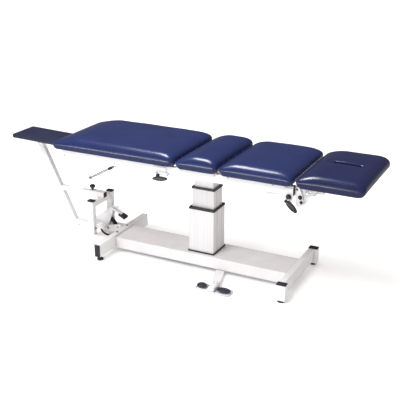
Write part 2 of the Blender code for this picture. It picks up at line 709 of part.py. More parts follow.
# ------------------------------------------------------------------ head section
def head_frame():
    bar_xs = (0.7150, 1.0600)
    frame = part("head_frame", box(bar_xs, (-0.2200, -0.1950), (0.7220, BOARD_REST)),
                 "head_section", PAINT)
    join(frame, box(bar_xs, (0.1950, 0.2200), (0.7220, BOARD_REST)))
    for x in (0.7300, 1.0300):
        join(frame, box((x, x + 0.0250), about(0.2150), (0.7240, 0.7440)))
    hinge_x = HINGE[0]
    # hinge ear and the slot in it, (x, z)
    ear = [(0.7050, 0.7435), (hinge_x - 0.0120, 0.7400), (hinge_x - 0.0135, 0.7300),
           (hinge_x - 0.0090, 0.7190), (0.7080, 0.7020), (0.7230, 0.6480),
           (0.7290, 0.6330), (0.7400, 0.6260), (0.7510, 0.6320), (0.7560, 0.6450),
           (0.7740, 0.6800), (0.8500, 0.7220), (0.8500, 0.7435)]
    slot = [(0.7480, 0.6960), (0.7520, 0.6890), (0.7830, 0.7070), (0.7790, 0.7140)]
    for _, sign in SIDES:
        join(frame, plate_xz([ear, circle(HINGE, 0.0063, 14), slot],
                             *on_side(sign, 0.2290, 0.2340)))
        join(frame, box((0.7350, 0.8450), on_side(sign, 0.2150, 0.2310),
                        (0.7290, 0.7430)))
    add_fork(frame, GAS_MOVING_PLATE, GAS_MOVING, 0.0130)


def head_pad():
    slot = stadium(0.915, length=0.200, width=0.040)    # breathing slot
    top = pad("head", "head_section", HEAD_PAD_XS, 0.149, 0.075,
              end_inset=0.024, holes=[slot])
    cut(top, plate_xy([slot], PAD_Z - 0.02, PAD_Z + PAD_T + 0.02))


def add_eye(ob, axis, radius):
    join(ob, pin(axis, *about(0.0080, GAS_Y), radius, 14))
    cut(ob, pin(axis, *about(0.0120, GAS_Y), 0.0040, 10))


def gas_spring():
    run_x, run_z = GAS_MOVING[0] - GAS_FIXED[0], GAS_MOVING[1] - GAS_FIXED[1]
    length = hypot(run_x, run_z)
    unit_x, unit_z = run_x / length, run_z / length

    def along(distance):
        return (GAS_FIXED[0] + unit_x * distance, GAS_Y, GAS_FIXED[1] + unit_z * distance)

    profile = [(0, 0.0140), (0.0080, 0.0140), (0.0080, 0.1950), (0.0095, 0.1980),
               (0.0115, 0.1960), (0.0115, 0.0120), (0.0095, 0.0090), (0, 0.0090)]
    cylinder = part("gas_spring_cylinder",
                    turned(profile, along(0), (unit_x, 0, unit_z), 14),
                    "gas_cylinder", PAINT)
    add_eye(cylinder, GAS_FIXED, 0.0095)
    piston = part("gas_spring_rod",
                  rod(along(length - 0.1700), along(length - 0.0030), 0.0036, 10),
                  "gas_rod", STEEL)
    add_eye(piston, GAS_MOVING, 0.0085)


# ------------------------------------------------------------------ leg section
def leg_carriage():
    side_xs, side_zs = (-0.9000, -0.1500), (0.6990, BOARD_REST)
    frame = part("leg_carriage", box(side_xs, (-0.2300, -0.2260), side_zs),
                 "leg_section", PAINT)
    join(frame, box(side_xs, (0.2260, 0.2300), side_zs))
    for x in (-0.9000, -0.5500, -0.1900):
        join(frame, box((x + 0.002, x + 0.038), about(0.2280), (0.7300, 0.7440)))
    for _, sign in SIDES:
        for x in (ROLLER_LEFT_X, ROLLER_RIGHT_X):
            cut(frame, pin((x, ROLLER_Z), *on_side(sign, 0.2100, 0.2400), 0.0055, 12))


def roller_axles():
    """Thin axles with a roller near each end."""
    end = [(0, 0.2615), (0.0050, 0.2615), (0.0050, 0.2600), (0.0245, 0.2600),
           (0.0254, 0.2590), (0.0254, 0.2480), (0.0245, 0.2470), (0.0080, 0.2470),
           (0.0080, 0.2340), (0.0050, 0.2340)]
    profile = end + [(r, -h) for r, h in reversed(end)]
    for name, x in (("roller_axle_left", ROLLER_LEFT_X),
                    ("roller_axle_right", ROLLER_RIGHT_X)):
        part(name, turned(profile, (x, 0, ROLLER_Z), (0, 1, 0), 16), name, STEEL)


# ------------------------------------------------------------------ levers
LEVER_BORE = 0.0044


def leg_lock_lever():
    """Hub, thick neck, thin rod and end ball, sloping down towards the foot end."""
    x, z = LEG_LOCK_AX
    way = Vector((-0.1960, 0, -0.1120)).normalized()
    start = Vector((x, LEG_LOCK_Y, z))
    lever = part("leg_lock_lever", pin(LEG_LOCK_AX, -0.2435, -0.2285, 0.0105, 14),
                 "leg_lock", PLASTIC)
    join(lever, rod(start + way * 0.004, start + way * 0.060, 0.0085, 12))
    join(lever, rod(start + way * 0.050, start + way * 0.216, 0.0045, 10))
    join(lever, ball(start + way * 0.222, 0.0115))
    cut(lever, pin(LEG_LOCK_AX, -0.2600, -0.2200, LEVER_BORE, 12))


def add_lever_hub(lever, axis, neck, radius, seg):
    """Neck box, hub and bore of a lever in front of the rail."""
    join(lever, neck)
    join(lever, pin(axis, -0.2870, -0.2712, radius, seg))
    cut(lever, pin(axis, -0.3000, -0.2600, LEVER_BORE, 12))


def section_lock_lever():
    x, z = SECTION_LOCK_AX
    lever = part("section_lock_lever",
                 box((x - 0.0400, x + 0.0700), (-0.2960, -0.2715),
                     (z - 0.0500, z - 0.0230), 0.007, 2), "section_lock", PLASTIC)
    neck = box(about(0.0125, x), (-0.2870, -0.2715), (z - 0.0320, z + 0.0005), 0.002)
    add_lever_hub(lever, SECTION_LOCK_AX, neck, 0.0125, 14)


def head_lock_lever():
    x, z = HEAD_LOCK_AX
    lever = part("head_lock_lever",
                 box(about(0.0480, x + 0.0170), (-0.2960, -0.2720),
                     about(0.0130, z - 0.0530), 0.007, 2,
                     turn=Matrix.Rotation(radians(32), 3, "Y")), "head_lock", PLASTIC)
    neck = box(about(0.0120, x), (-0.2870, -0.2730), (z - 0.0480, z + 0.0005), 0.002)
    add_lever_hub(lever, HEAD_LOCK_AX, neck, 0.0165, 16)


# ------------------------------------------------------------------ stand, sliding half
SHELF_TURN = Matrix.Rotation(SHELF_TILT, 3, "Y")


def strut_x(z):
    return STRUT_X0 + STRUT_LEAN * (z - STRUT_Z0)


def stand_frame():
    """Slanted strut, two arms and the plate under the shelf."""
    offset, half_thick = 0.0300, 0.0030     # plate's middle from the shelf's, towards -X
    plate_x = SHELF_X - offset
    plate_z = SHELF_Z + offset * sin(SHELF_TILT) \
        - (SHELF_T / 2 + GAP + half_thick) / cos(SHELF_TILT)
    half_width = ARM * hypot(1.0, STRUT_LEAN)
    top_x = strut_x(plate_z)
    strut = [(STRUT_X0 - half_width, STRUT_Z0), (STRUT_X0 + half_width, STRUT_Z0),
             (top_x + half_width, plate_z), (top_x - half_width, plate_z)]
    frame = part("stand_frame", plate_xz([strut], -ARM, ARM), "traction_stand", PAINT)
    for _, z, end in ARMS:
        join(frame, box((strut_x(z), end), about(ARM - 0.0002), about(ARM, z),
                        0.003, 1, "x"))
    join(frame, box(about(0.0600, plate_x), about(0.0700), about(half_thick, plate_z),
                    turn=SHELF_TURN))


def stand_arm_plugs():
    for name, z, end in ARMS:
        part("stand_arm_plug_" + name,
             box((end + GAP, end + 0.0160), about(ARM - 0.0006), about(ARM - 0.0006, z),
                 0.004, 2), "traction_stand", PLASTIC)


def shelf_board():
    bm = box(about(SHELF_L / 2), about(SHELF_W / 2), about(SHELF_T / 2), 0.020, 4, "z")
    bmesh.ops.bevel(bm, geom=flat_edges(bm), offset=SHELF_EDGE, segments=1, profile=0.5,
                    affect="EDGES")
    bmesh.ops.rotate(bm, verts=bm.verts, cent=(0, 0, 0), matrix=SHELF_TURN)
    bmesh.ops.translate(bm, verts=bm.verts, vec=(SHELF_X, 0, SHELF_Z))
    part("shelf_board", bm, "traction_stand", LAMINATE)


def stand_clamp_knob():
    """Five-lobed grip over a turned stem."""
    mean, wave, count = 0.0190, 0.0030, 30
    star = []
    for i in range(count):
        angle = 2 * pi * i / count
        radius = mean + wave * cos(5 * angle)
        star.append((radius * cos(angle) + KNOB_X, radius * sin(angle)))
    knob = part("stand_clamp_knob", plate_xy([star], 0.3900, 0.4080),
                "clamp_knob", PLASTIC)
    stem = [(0, 0.4140), (0.0090, 0.4130), (0.0150, 0.4060), (0.0110, 0.3920),
            (0.0080, 0.3860), (0.0080, 0.3760), (0.0050, 0.3760), (0.0050, 0.3712),
            (0, 0.3712)]
    join(knob, turned(stem, (KNOB_X, 0, 0), (0, 0, 1), 16))


# ------------------------------------------------------------------ transport wheel
TREAD_XS, TREAD_YS, TREAD_ZS = (-0.7950, -0.6950), (0.0390, 0.0800), (0.2185, 0.2305)
TREAD_TURN = Matrix.Rotation(radians(26), 3, "Y")


def wheel_lever():
    """Two cheeks either side of the wheel, joined by a slanted tread bar and a pin."""
    lever_x, lever_z = WHEEL_LEVER_AX
    wheel_x, wheel_z = WHEEL_AX
    cheek = [(lever_x - 0.0100, lever_z - 0.0040), (lever_x - 0.0060, lever_z - 0.0105),
             (lever_x + 0.0040, lever_z - 0.0110), (wheel_x - 0.0080, wheel_z - 0.0120),
             (wheel_x + 0.0060, wheel_z - 0.0130), (wheel_x + 0.0130, wheel_z - 0.0040),
             (wheel_x + 0.0130, wheel_z + 0.0080), (-0.7670, 0.2150), (-0.7670, 0.2320),
             (-0.7900, 0.2440), (-0.8200, 0.2250), (lever_x + 0.0030, lever_z + 0.0110),
             (lever_x - 0.0070, lever_z + 0.0080)]
    loops = [cheek, circle(WHEEL_AX, 0.0044, 12)]
    lever = part("wheel_lever", plate_xz(loops, 0.0370, 0.0410), "wheel_lever", PAINT)
    join(lever, plate_xz(loops, 0.0780, 0.0820))
    join(lever, box(TREAD_XS, TREAD_YS, TREAD_ZS, 0.002, turn=TREAD_TURN))
    join(lever, pin(WHEEL_LEVER_AX, 0.0290, 0.0900, 0.0060, 14))
    # small tab above the tread bar and its foot
    join(lever, box((-0.7750, -0.7230), (0.0500, 0.0620), (0.2465, 0.2565), 0.002))
    join(lever, box((-0.7750, -0.7650), (0.0510, 0.0610), (0.2300, 0.2500)))


def wheel_pedal_pad():
    """Rubber block, hollowed to fit over the end of the tread bar."""
    block = part("wheel_pedal_pad",
                 box((-0.7230, -0.6640), (0.0350, 0.0840), (0.1825, 0.2030), 0.004, 2,
                     turn=TREAD_TURN), "wheel_lever", RUBBER)
    cut(block, box(grow(TREAD_XS, 0.0005), grow(TREAD_YS, 0.0005),
                   grow(TREAD_ZS, 0.0005), turn=TREAD_TURN))


def transport_wheel():
    tyre = [(0.0575, 0.0140), (0.0690, 0.0155), (WHEEL_R, 0.0110), (WHEEL_R, -0.0110),
            (0.0690, -0.0155), (0.0575, -0.0140), (0.0575, 0.0140)]
    half_hub = [(0, 0.0230), (0.0042, 0.0230), (0.0042, 0.0172), (0.0140, 0.0172),
                (0.0140, 0.0090), (0.0490, 0.0070), (0.0515, 0.0130), (0.0572, 0.0130)]
    hub = half_hub + [(r, -h) for r, h in reversed(half_hub)]
    centre = (WHEEL_AX[0], WHEEL_Y, WHEEL_AX[1])
    for name, profile, finish in (("tyre", tyre, RUBBER), ("hub", hub, HUB)):
        part("transport_wheel_" + name, turned(profile, centre, (0, 1, 0), 28),
             "wheel", finish)


# ------------------------------------------------------------------ pedals
def pedals():
    """Domed discs, each with a bar towards the block between them."""
    under = 0.0160
    # name, disc centre x, radius, crown height, side of the block, bar's far end
    for name, x, radius, crown, sign, bar_end in (
            ("pedal_raise", 0.1350, 0.0360, 0.0330, -1, 0.1880),
            ("pedal_lower", 0.2900, 0.0460, 0.0250, 1, 0.2420)):
        dome = [(0, crown), (radius * 0.55, crown - 0.0020),
                (radius * 0.86, crown - 0.008), (radius, 0.0190), (radius, under),
                (0, under)]
        pedal = part(name, turned(dome, (x, SWITCH_Y, 0), (0, 0, 1), 20), name, PLASTIC)
        join(pedal, box(sorted((x - sign * radius * 0.6, bar_end)),
                        about(0.0100, SWITCH_Y), (0.0170, 0.0230)))


# ------------------------------------------------------------------ assembly
# The helpers are numbered in the order of these calls.
base_beam()
left_crossbar()
right_foot_frame()
levelling_feet()
column()
lift()
motor_and_control()
stand_base_frame()
stand_post_caps()
footswitch_base()
footswitch_arm()
power_cord()

deck_frame()
deck_rail_caps()
head_hinge_pin()
pad("seat", "top_frame", SEAT_PAD_XS, 0.143, 0.097)
pad("back", "top_frame", BACK_PAD_XS, 0.123, 0.112)

head_frame()
head_pad()
gas_spring()
leg_carriage()
pad("leg", "leg_section", LEG_PAD_XS, 0.200, 0.120)
roller_axles()
leg_lock_lever()
section_lock_lever()
head_lock_lever()

stand_frame()
stand_arm_plugs()
shelf_board()
stand_clamp_knob()
wheel_lever()
wheel_pedal_pad()
transport_wheel()
pedals()
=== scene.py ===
# Looks of a motor-lifted treatment table: upholstered pads on a lifting column,
# with a traction stand, a transport wheel and a foot switch.
# It lies along X with the leg end at -X and the head end at +X. Its front, where
# the pedals are, is at -Y, and it stands on the floor at z = 0. Metres, +Z up.
import json
from math import sin, cos, pi, radians, atan2, hypot, sqrt, exp

import bmesh
import bpy
import numpy as np
from mathutils import Matrix, Vector


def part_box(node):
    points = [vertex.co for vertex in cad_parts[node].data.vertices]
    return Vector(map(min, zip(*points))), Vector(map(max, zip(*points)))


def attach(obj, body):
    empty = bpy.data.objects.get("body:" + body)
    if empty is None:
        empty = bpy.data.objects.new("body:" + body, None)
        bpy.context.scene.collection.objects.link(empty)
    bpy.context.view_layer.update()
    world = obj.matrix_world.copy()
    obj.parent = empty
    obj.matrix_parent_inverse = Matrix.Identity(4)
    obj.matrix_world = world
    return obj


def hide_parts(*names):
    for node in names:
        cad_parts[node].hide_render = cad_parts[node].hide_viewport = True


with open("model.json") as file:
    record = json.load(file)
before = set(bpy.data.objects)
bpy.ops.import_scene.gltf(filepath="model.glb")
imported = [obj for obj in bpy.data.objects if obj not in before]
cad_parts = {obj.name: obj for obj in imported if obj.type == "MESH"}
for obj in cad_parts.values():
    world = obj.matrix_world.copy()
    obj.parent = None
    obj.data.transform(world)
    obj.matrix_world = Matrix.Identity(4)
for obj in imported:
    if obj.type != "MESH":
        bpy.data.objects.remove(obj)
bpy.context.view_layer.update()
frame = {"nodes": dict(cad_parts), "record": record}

SCENE = bpy.context.scene
PARTS = bpy.data.collections.new("table_looks")
SCENE.collection.children.link(PARTS)

JOINTS = {joint["name"]: Vector(joint["pos_m"])
          for joint in frame["record"]["behaviour"]["joints"] if "pos_m" in joint}
FRONT, REAR = (0, -1, 0), (0, 1, 0)
LEFT, RIGHT = (-1, 0, 0), (1, 0, 0)
DOWN, UP = (0, 0, -1), (0, 0, 1)

column_low, column_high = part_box("column_lower_stage")
COLUMN_X = (column_low.x + column_high.x) / 2


def at(x, y, z):
    """A place whose x is counted from the column's axis."""
    return Vector((x + COLUMN_X, y, z))


def from_column(outline):
    return [(x + COLUMN_X, z) for x, z in outline]


# ------------------------------------------------------------------ node writers
def shade(colour, gain, lift=0.0):
    return tuple(min(1.0, channel * gain + lift) for channel in colour)


class Nodes:
    """Writes nodes into one shader tree."""

    def __init__(self, tree):
        self.tree = tree

    def put(self, socket, value):
        """Links or sets an input; a colour of three numbers gets an alpha of 1."""
        if isinstance(value, bpy.types.NodeSocket):
            self.tree.links.new(value, socket)
        elif socket.type == "RGBA" and len(value) == 3:
            socket.default_value = (*value, 1.0)
        else:
            socket.default_value = value

    def node(self, kind, **inputs):
        node = self.tree.nodes.new(kind)
        for key, value in inputs.items():
            self.put(node.inputs[key.replace("_", " ")], value)
        return node

    def split(self, vector):
        return self.node("ShaderNodeSeparateXYZ", Vector=vector).outputs

    def span(self, value, low, high, from_low=0.0, from_high=1.0):
        node = self.node("ShaderNodeMapRange", Value=value, From_Min=from_low,
                         From_Max=from_high, To_Min=low, To_Max=high)
        return node.outputs["Result"]

    def mix_float(self, factor, a, b):
        node = self.node("ShaderNodeMix")
        node.data_type = "FLOAT"
        for index, value in ((0, factor), (2, a), (3, b)):
            self.put(node.inputs[index], value)
        return node.outputs[0]


class Material(Nodes):
    """One material; its textures lie in object coordinates."""

    def __init__(self, name):
        self.material = bpy.data.materials.new(name)
        self.material.use_nodes = True
        super().__init__(self.material.node_tree)
        self.shader = self.tree.nodes["Principled BSDF"]
        self.coords = self.node("ShaderNodeTexCoord").outputs["Object"]

    def vector_math(self, operation, a, b):
        node = self.node("ShaderNodeVectorMath")
        node.operation = operation
        self.put(node.inputs[0], a)
        self.put(node.inputs[1], b)
        return node.outputs

    def stretched(self, factors):
        if factors is None:
            return self.coords
        return self.vector_math("MULTIPLY", self.coords, factors)[0]

    def noise(self, scale=1.0, detail=3.0, rough=0.5, stretch=None, distort=0.0):
        node = self.node("ShaderNodeTexNoise", Scale=scale, Detail=detail, Roughness=rough,
                         Distortion=distort, Vector=self.stretched(stretch))
        return node.outputs["Fac"]

    def cells(self, scale, feature="F1", stretch=None):
        node = self.node("ShaderNodeTexVoronoi", Scale=scale, Vector=self.stretched(stretch))
        node.feature = feature
        return node.outputs["Distance"]

    def ramp(self, factor, stops):
        node = self.node("ShaderNodeValToRGB", Fac=factor)
        elements = node.color_ramp.elements
        while len(elements) < len(stops):
            elements.new(0.5)
        for element, (position, colour) in zip(elements, stops):
            element.position = position
            element.color = (*colour, 1.0)
        return node.outputs["Color"]

    def mask(self, factor, start, end, low=0.0, high=1.0):
        """Grey ramp from low at start to high at end."""
        return self.ramp(factor, [(start, (low,) * 3), (end, (high,) * 3)])

    def tone(self, factor, dark, light, start=0.3, end=0.7):
        return self.ramp(factor, [(start, dark), (end, light)])

    def math(self, operation, a, b=0.0, clamp=False):
        node = self.node("ShaderNodeMath")
        node.operation = operation
        node.use_clamp = clamp
        self.put(node.inputs[0], a)
        self.put(node.inputs[1], b)
        return node.outputs[0]

    def weigh(self, a, b, share):
        return self.math("ADD", self.math("MULTIPLY", a, share),
                         self.math("MULTIPLY", b, 1 - share))

    def mix(self, factor, a, b):
        node = self.node("ShaderNodeMix")
        node.data_type = "RGBA"
        for index, value in ((0, factor), (6, a), (7, b)):
            self.put(node.inputs[index], value)
        return node.outputs[2]

    def bump(self, height, distance, strength=1.0, normal=None):
        node = self.node("ShaderNodeBump", Strength=strength, Distance=distance, Height=height)
        if normal is not None:
            self.put(node.inputs["Normal"], normal)
        return node.outputs["Normal"]

    def soft(self, radius):
        """Rounded-edge normals on hard CAD edges."""
        node = self.node("ShaderNodeBevel", Radius=radius)
        node.samples = 4
        return node.outputs["Normal"]

    def worn(self, colour, bare, radius, amount):
        """Colour rubbed through here and there along the edges."""
        rounded = self.soft(radius)
        flat = self.node("ShaderNodeNewGeometry").outputs["Normal"]
        facing = self.vector_math("DOT_PRODUCT", rounded, flat)["Value"]
        edge = self.math("MULTIPLY", self.math("SUBTRACT", 1.0, facing), 9.0, clamp=True)
        patches = self.mask(self.noise(scale=55.0, detail=5.0, rough=0.7), start=0.46, end=0.62)
        edge = self.math("MULTIPLY", edge, patches)
        return self.mix(self.math("MULTIPLY", edge, amount, clamp=True), colour, bare)

    def occlusion_tint(self, colour, dark, distance, amount):
        """Colour moved towards a second tone where ambient occlusion finds faces meeting:
        painted shade in the corners when that tone is darker.
        """
        node = self.node("ShaderNodeAmbientOcclusion", Distance=distance)
        node.samples = 4
        open_share = self.math("POWER", node.outputs["AO"], 1.6)
        corner = self.math("MULTIPLY", self.math("SUBTRACT", 1.0, open_share), amount,
                           clamp=True)
        return self.mix(corner, colour, dark)

    def done(self, colour, rough, metal=0.0, normal=None, **more):
        settings = {"Base Color": colour, "Roughness": rough, "Metallic": metal, **more}
        if normal is not None:
            settings["Normal"] = normal
        for key, value in settings.items():
            self.put(self.shader.inputs[key.replace("_", " ")], value)
        return self.material


# ------------------------------------------------------------------ materials
def vinyl(name, light, dark):
    """Upholstery vinyl: fine pores and shallow creases."""
    m = Material(name)
    tone = m.weigh(m.noise(scale=5.0, detail=4.0, rough=0.55),
                   m.noise(scale=60.0, detail=3.0, rough=0.6), share=0.75)
    colour = m.tone(tone, dark, light)
    pores = m.cells(scale=1100.0, feature="SMOOTH_F1", stretch=(1.0, 1.15, 1.0))
    crease = m.mask(m.cells(scale=420.0, feature="DISTANCE_TO_EDGE"), start=0.0, end=0.10)
    # painted shade: the crease grooves are tinted a little towards the dark tone
    colour = m.mix(m.span(crease, low=0.06, high=0.0), colour, dark)
    normal = m.bump(m.noise(scale=6.0, detail=1.0, rough=0.4), distance=0.0020, strength=0.12)
    normal = m.bump(crease, distance=0.00006, strength=0.07, normal=normal)
    normal = m.bump(pores, distance=0.00005, strength=0.09, normal=normal)
    rough = m.span(m.noise(scale=22.0, detail=4.0, rough=0.6), low=0.24, high=0.33)
    return m.done(colour, rough, normal=normal, Specular_IOR_Level=0.50, Coat_Weight=0.25,
                  Coat_Roughness=0.20)


def paint(name, light, dark, rough=0.36, edge=0.0016):
    """Powder coat: orange-peel grain, a few specks, worn edges."""
    m = Material(name)
    colour = m.tone(m.noise(scale=6.0, detail=4.0, rough=0.6), dark, light)
    specks = m.noise(scale=420.0, detail=2.0, rough=0.7)
    colour = m.mix(m.mask(specks, start=0.70, end=0.78, high=0.25), colour, dark)
    # painted shade: the corners are darkened by ambient occlusion
    colour = m.occlusion_tint(colour, shade(dark, 0.55), distance=0.018, amount=0.45)
    colour = m.worn(colour, bare=(0.50, 0.49, 0.48), radius=0.0022, amount=0.5)
    normal = m.bump(m.noise(scale=950.0, detail=2.0), distance=0.00010, strength=0.55,
                    normal=m.soft(edge))
    normal = m.bump(m.noise(scale=160.0, detail=2.0), distance=0.00020, strength=0.25,
                    normal=normal)
    roughness = m.span(m.noise(scale=40.0, detail=4.0, rough=0.65), rough - 0.05, rough + 0.08)
    return m.done(colour, roughness, normal=normal, Coat_Weight=0.18, Coat_Roughness=0.25)


def extrusion(name, light, dark):
    """Satin aluminium extrusion: fine draw lines run up the tube."""
    m = Material(name)
    lines = m.noise(detail=3.0, rough=0.7, stretch=(1600.0, 1600.0, 5.0))
    bands = m.noise(detail=2.0, rough=0.6, stretch=(90.0, 90.0, 1.2))
    colour = m.tone(bands, dark, light, start=0.25, end=0.75)
    colour = m.mix(m.span(lines, low=0.0, high=0.16), colour, dark)
    # painted shade: the corners are darkened by ambient occlusion
    colour = m.occlusion_tint(colour, shade(dark, 0.5), distance=0.015, amount=0.5)
    colour = m.worn(colour, bare=(0.60, 0.60, 0.60), radius=0.0018, amount=0.4)
    normal = m.bump(lines, distance=0.00006, strength=0.5, normal=m.soft(0.0016))
    return m.done(colour, m.span(lines, low=0.30, high=0.44), metal=0.18, normal=normal,
                  Anisotropic=0.3)


def plastic(name, colour, rough=0.42, grain=700.0):
    """Grained moulding with light scuffs."""
    m = Material(name)
    light = shade(colour, 1.8, lift=0.006)
    worn_edge = shade(colour, 3.0, lift=0.03)
    mixed = m.tone(m.noise(scale=30.0, detail=4.0, rough=0.6), colour, light, end=0.75)
    scuff = m.noise(detail=5.0, rough=0.75, stretch=(240.0, 60.0, 240.0))
    mixed = m.mix(m.mask(scuff, start=0.66, end=0.80, high=0.35), mixed, light)
    mixed = m.worn(mixed, worn_edge, radius=0.0015, amount=0.6)
    normal = m.bump(m.cells(grain), distance=0.00012, strength=0.5, normal=m.soft(0.0010))
    roughness = m.span(m.noise(scale=90.0, detail=4.0, rough=0.6), rough - 0.07, rough + 0.10)
    return m.done(mixed, roughness, normal=normal)


def rubber(name, colour=(0.018, 0.017, 0.020), rough=0.68):
    m = Material(name)
    light = shade(colour, 2.2, lift=0.006)
    mixed = m.tone(m.noise(scale=18.0, detail=5.0, rough=0.65), colour, light,
                   start=0.35, end=0.75)
    mixed = m.occlusion_tint(mixed, light, distance=0.006, amount=0.5)
    normal = m.bump(m.noise(scale=700.0, rough=0.6), distance=0.00018, strength=0.6,
                    normal=m.soft(0.0010))
    return m.done(mixed, m.span(m.noise(scale=60.0), rough - 0.08, rough + 0.10),
                  normal=normal, Specular_IOR_Level=0.35)


def metal(name, colour, rough, lines=(30.0, 900.0, 30.0)):
    """Bare metal with fine lines; lines holds the stretch of their texture."""
    m = Material(name)
    brushed = m.noise(rough=0.65, stretch=lines)
    mixed = m.tone(m.noise(scale=25.0, detail=4.0, rough=0.6), shade(colour, 0.82), colour)
    normal = m.bump(brushed, distance=0.00003, strength=0.4, normal=m.soft(0.0006))
    return m.done(mixed, m.span(brushed, rough - 0.05, rough + 0.09), metal=1.0, normal=normal)


def enamel(name, colour, rough):
    m = Material(name)
    mixed = m.tone(m.noise(scale=14.0, detail=5.0, rough=0.6), shade(colour, 0.75), colour)
    # painted shade: the corners are darkened by ambient occlusion
    mixed = m.occlusion_tint(mixed, shade(colour, 0.4), distance=0.012, amount=0.6)
    normal = m.bump(m.noise(scale=380.0, rough=0.55), distance=0.00022, strength=0.6,
                    normal=m.soft(0.0012))
    return m.done(mixed, m.span(m.noise(scale=60.0), rough - 0.06, rough + 0.08),
                  normal=normal)


def plywood(name):
    """Birch ply: long grain on the faces, stacked plies on the edges."""
    m = Material(name)
    grain = m.noise(detail=6.0, rough=0.62, stretch=(3.2, 46.0, 3.0), distort=1.4)
    fine = m.noise(detail=3.0, rough=0.7, stretch=(30.0, 900.0, 30.0))
    face = m.ramp(m.weigh(grain, fine, share=0.8),
                  [(0.25, (0.27, 0.155, 0.075)), (0.50, (0.47, 0.30, 0.165)),
                   (0.78, (0.60, 0.42, 0.25))])
    # one ply is 1.2 mm; 833 brings its height back to 0..1
    ply = m.math("PINGPONG", m.split(m.coords)["Z"], 0.0012)
    side = m.tone(m.math("MULTIPLY", ply, 833.0), dark=(0.22, 0.12, 0.055),
                  light=(0.55, 0.38, 0.22), start=0.30, end=0.60)
    true_normal = m.node("ShaderNodeNewGeometry").outputs["True Normal"]
    level = m.math("ABSOLUTE", m.split(true_normal)["Z"])
    colour = m.mix(m.mask(level, start=0.5, end=0.7), side, face)
    return m.done(colour, m.span(grain, low=0.58, high=0.74),
                  normal=m.bump(fine, distance=0.00015, strength=0.6))


def laminate(name, light, dark):
    m = Material(name)
    colour = m.tone(m.noise(scale=9.0, detail=5.0, rough=0.6), dark, light)
    flecks = m.mask(m.cells(scale=420.0), start=0.0, end=0.12, low=0.35, high=0.0)
    colour = m.mix(flecks, colour, shade(light, 2.2))
    normal = m.bump(m.noise(scale=520.0, rough=0.6), distance=0.00012, strength=0.6)
    return m.done(colour, m.span(m.noise(scale=50.0), low=0.36, high=0.52), normal=normal,
                  Coat_Weight=0.08)


def floor_white(name):
    m = Material(name)
    return m.done(colour=(0.92, 0.92, 0.92), rough=0.8, Specular_IOR_Level=0.2,
                  Emission_Color=(1.0, 1.0, 1.0), Emission_Strength=0.16)


NAVY = vinyl("navy_upholstery", light=(0.018, 0.028, 0.112), dark=(0.013, 0.021, 0.088))
# darker copy of the navy vinyl for the downward-tilted head pad: painted shade
NAVY_HEAD_SHADED = vinyl("navy_upholstery_head_shaded", light=(0.015, 0.020, 0.076),
                  dark=(0.011, 0.015, 0.060))
WHITE = paint("white_powder_coat", light=(0.83, 0.82, 0.825), dark=(0.78, 0.77, 0.77))
# darker copy of the white powder coat for the base beam and the foot-switch strap, which lie in
# shade under the table: painted shade
SHADED_WHITE = paint("base_powder_coat_shaded", light=(0.80, 0.785, 0.79), dark=(0.72, 0.705, 0.71),
             rough=0.42)
TUBE = extrusion("column_extrusion", light=(0.84, 0.83, 0.835), dark=(0.75, 0.735, 0.74))
BLACK = plastic("black_moulding", colour=(0.014, 0.012, 0.019))
KNOB = plastic("knob_moulding", colour=(0.012, 0.011, 0.015), rough=0.36, grain=900.0)
RUBBER = rubber("foot_rubber")
PEDAL = rubber("pedal_rubber", colour=(0.020, 0.018, 0.027), rough=0.58)
TYRE = rubber("tyre_rubber", colour=(0.015, 0.014, 0.016), rough=0.72)
HUB = plastic("hub_moulding", colour=(0.70, 0.69, 0.68), rough=0.40, grain=500.0)
PALE = plastic("pale_moulding", colour=(0.66, 0.65, 0.67), rough=0.45, grain=600.0)
CHROME = metal("bright_steel", colour=(0.70, 0.70, 0.72), rough=0.16)
ZINC = metal("zinc_bolts", colour=(0.55, 0.55, 0.56), rough=0.34, lines=(300.0, 300.0, 300.0))
MOTOR = enamel("motor_enamel", colour=(0.20, 0.21, 0.23), rough=0.45)
PLY = plywood("birch_ply")
LAMINATE = laminate("shelf_laminate", light=(0.020, 0.022, 0.058), dark=(0.013, 0.015, 0.041))
SATIN = metal("satin_steel", colour=(0.66, 0.67, 0.70), rough=0.36)
SWITCH = paint("foot_switch_paint", light=(0.70, 0.70, 0.745), dark=(0.64, 0.64, 0.69),
               rough=0.40, edge=0.0008)

# material, and the CAD pieces that wear it
CAD_LOOKS = (
    (SHADED_WHITE, "base_beam"),
    (WHITE, "left_crossbar right_foot_frame stand_base_frame footswitch_base footswitch_arm "
            "deck_frame head_frame gas_spring_cylinder leg_carriage stand_frame wheel_lever"),
    (BLACK, "left_crossbar_cap_front left_crossbar_cap_rear right_leg_cap_front "
            "right_leg_cap_rear column_foot_collar column_lower_collar column_middle_collar "
            "control_box stand_post_cap_front stand_post_cap_rear deck_rail_cap_front "
            "deck_rail_cap_rear leg_lock_lever stand_arm_plug_upper"),
    (RUBBER, "levelling_foot_left_front levelling_foot_left_rear levelling_foot_right_front "
             "levelling_foot_right_rear power_cord"),
    (TUBE, "column_lower_stage column_middle_stage column_upper_stage"),
    (MOTOR, "lift_outer_tube lift_motor"),
    (CHROME, "lift_middle_tube lift_rod head_hinge_pin gas_spring_rod"),
    (PLY, "seat_board back_board head_board leg_board"),
    (ZINC, "roller_axle_left roller_axle_right"),
    (KNOB, "section_lock_lever head_lock_lever stand_clamp_knob"),
    (PALE, "stand_arm_plug_lower"),
    (PEDAL, "wheel_pedal_pad pedal_raise pedal_lower"),
    (TYRE, "transport_wheel_tyre"),
    (HUB, "transport_wheel_hub"),
)
for material, nodes in CAD_LOOKS:
    for node in nodes.split():
        mesh = frame["nodes"][node].data
        mesh.materials.clear()
        mesh.materials.append(material)


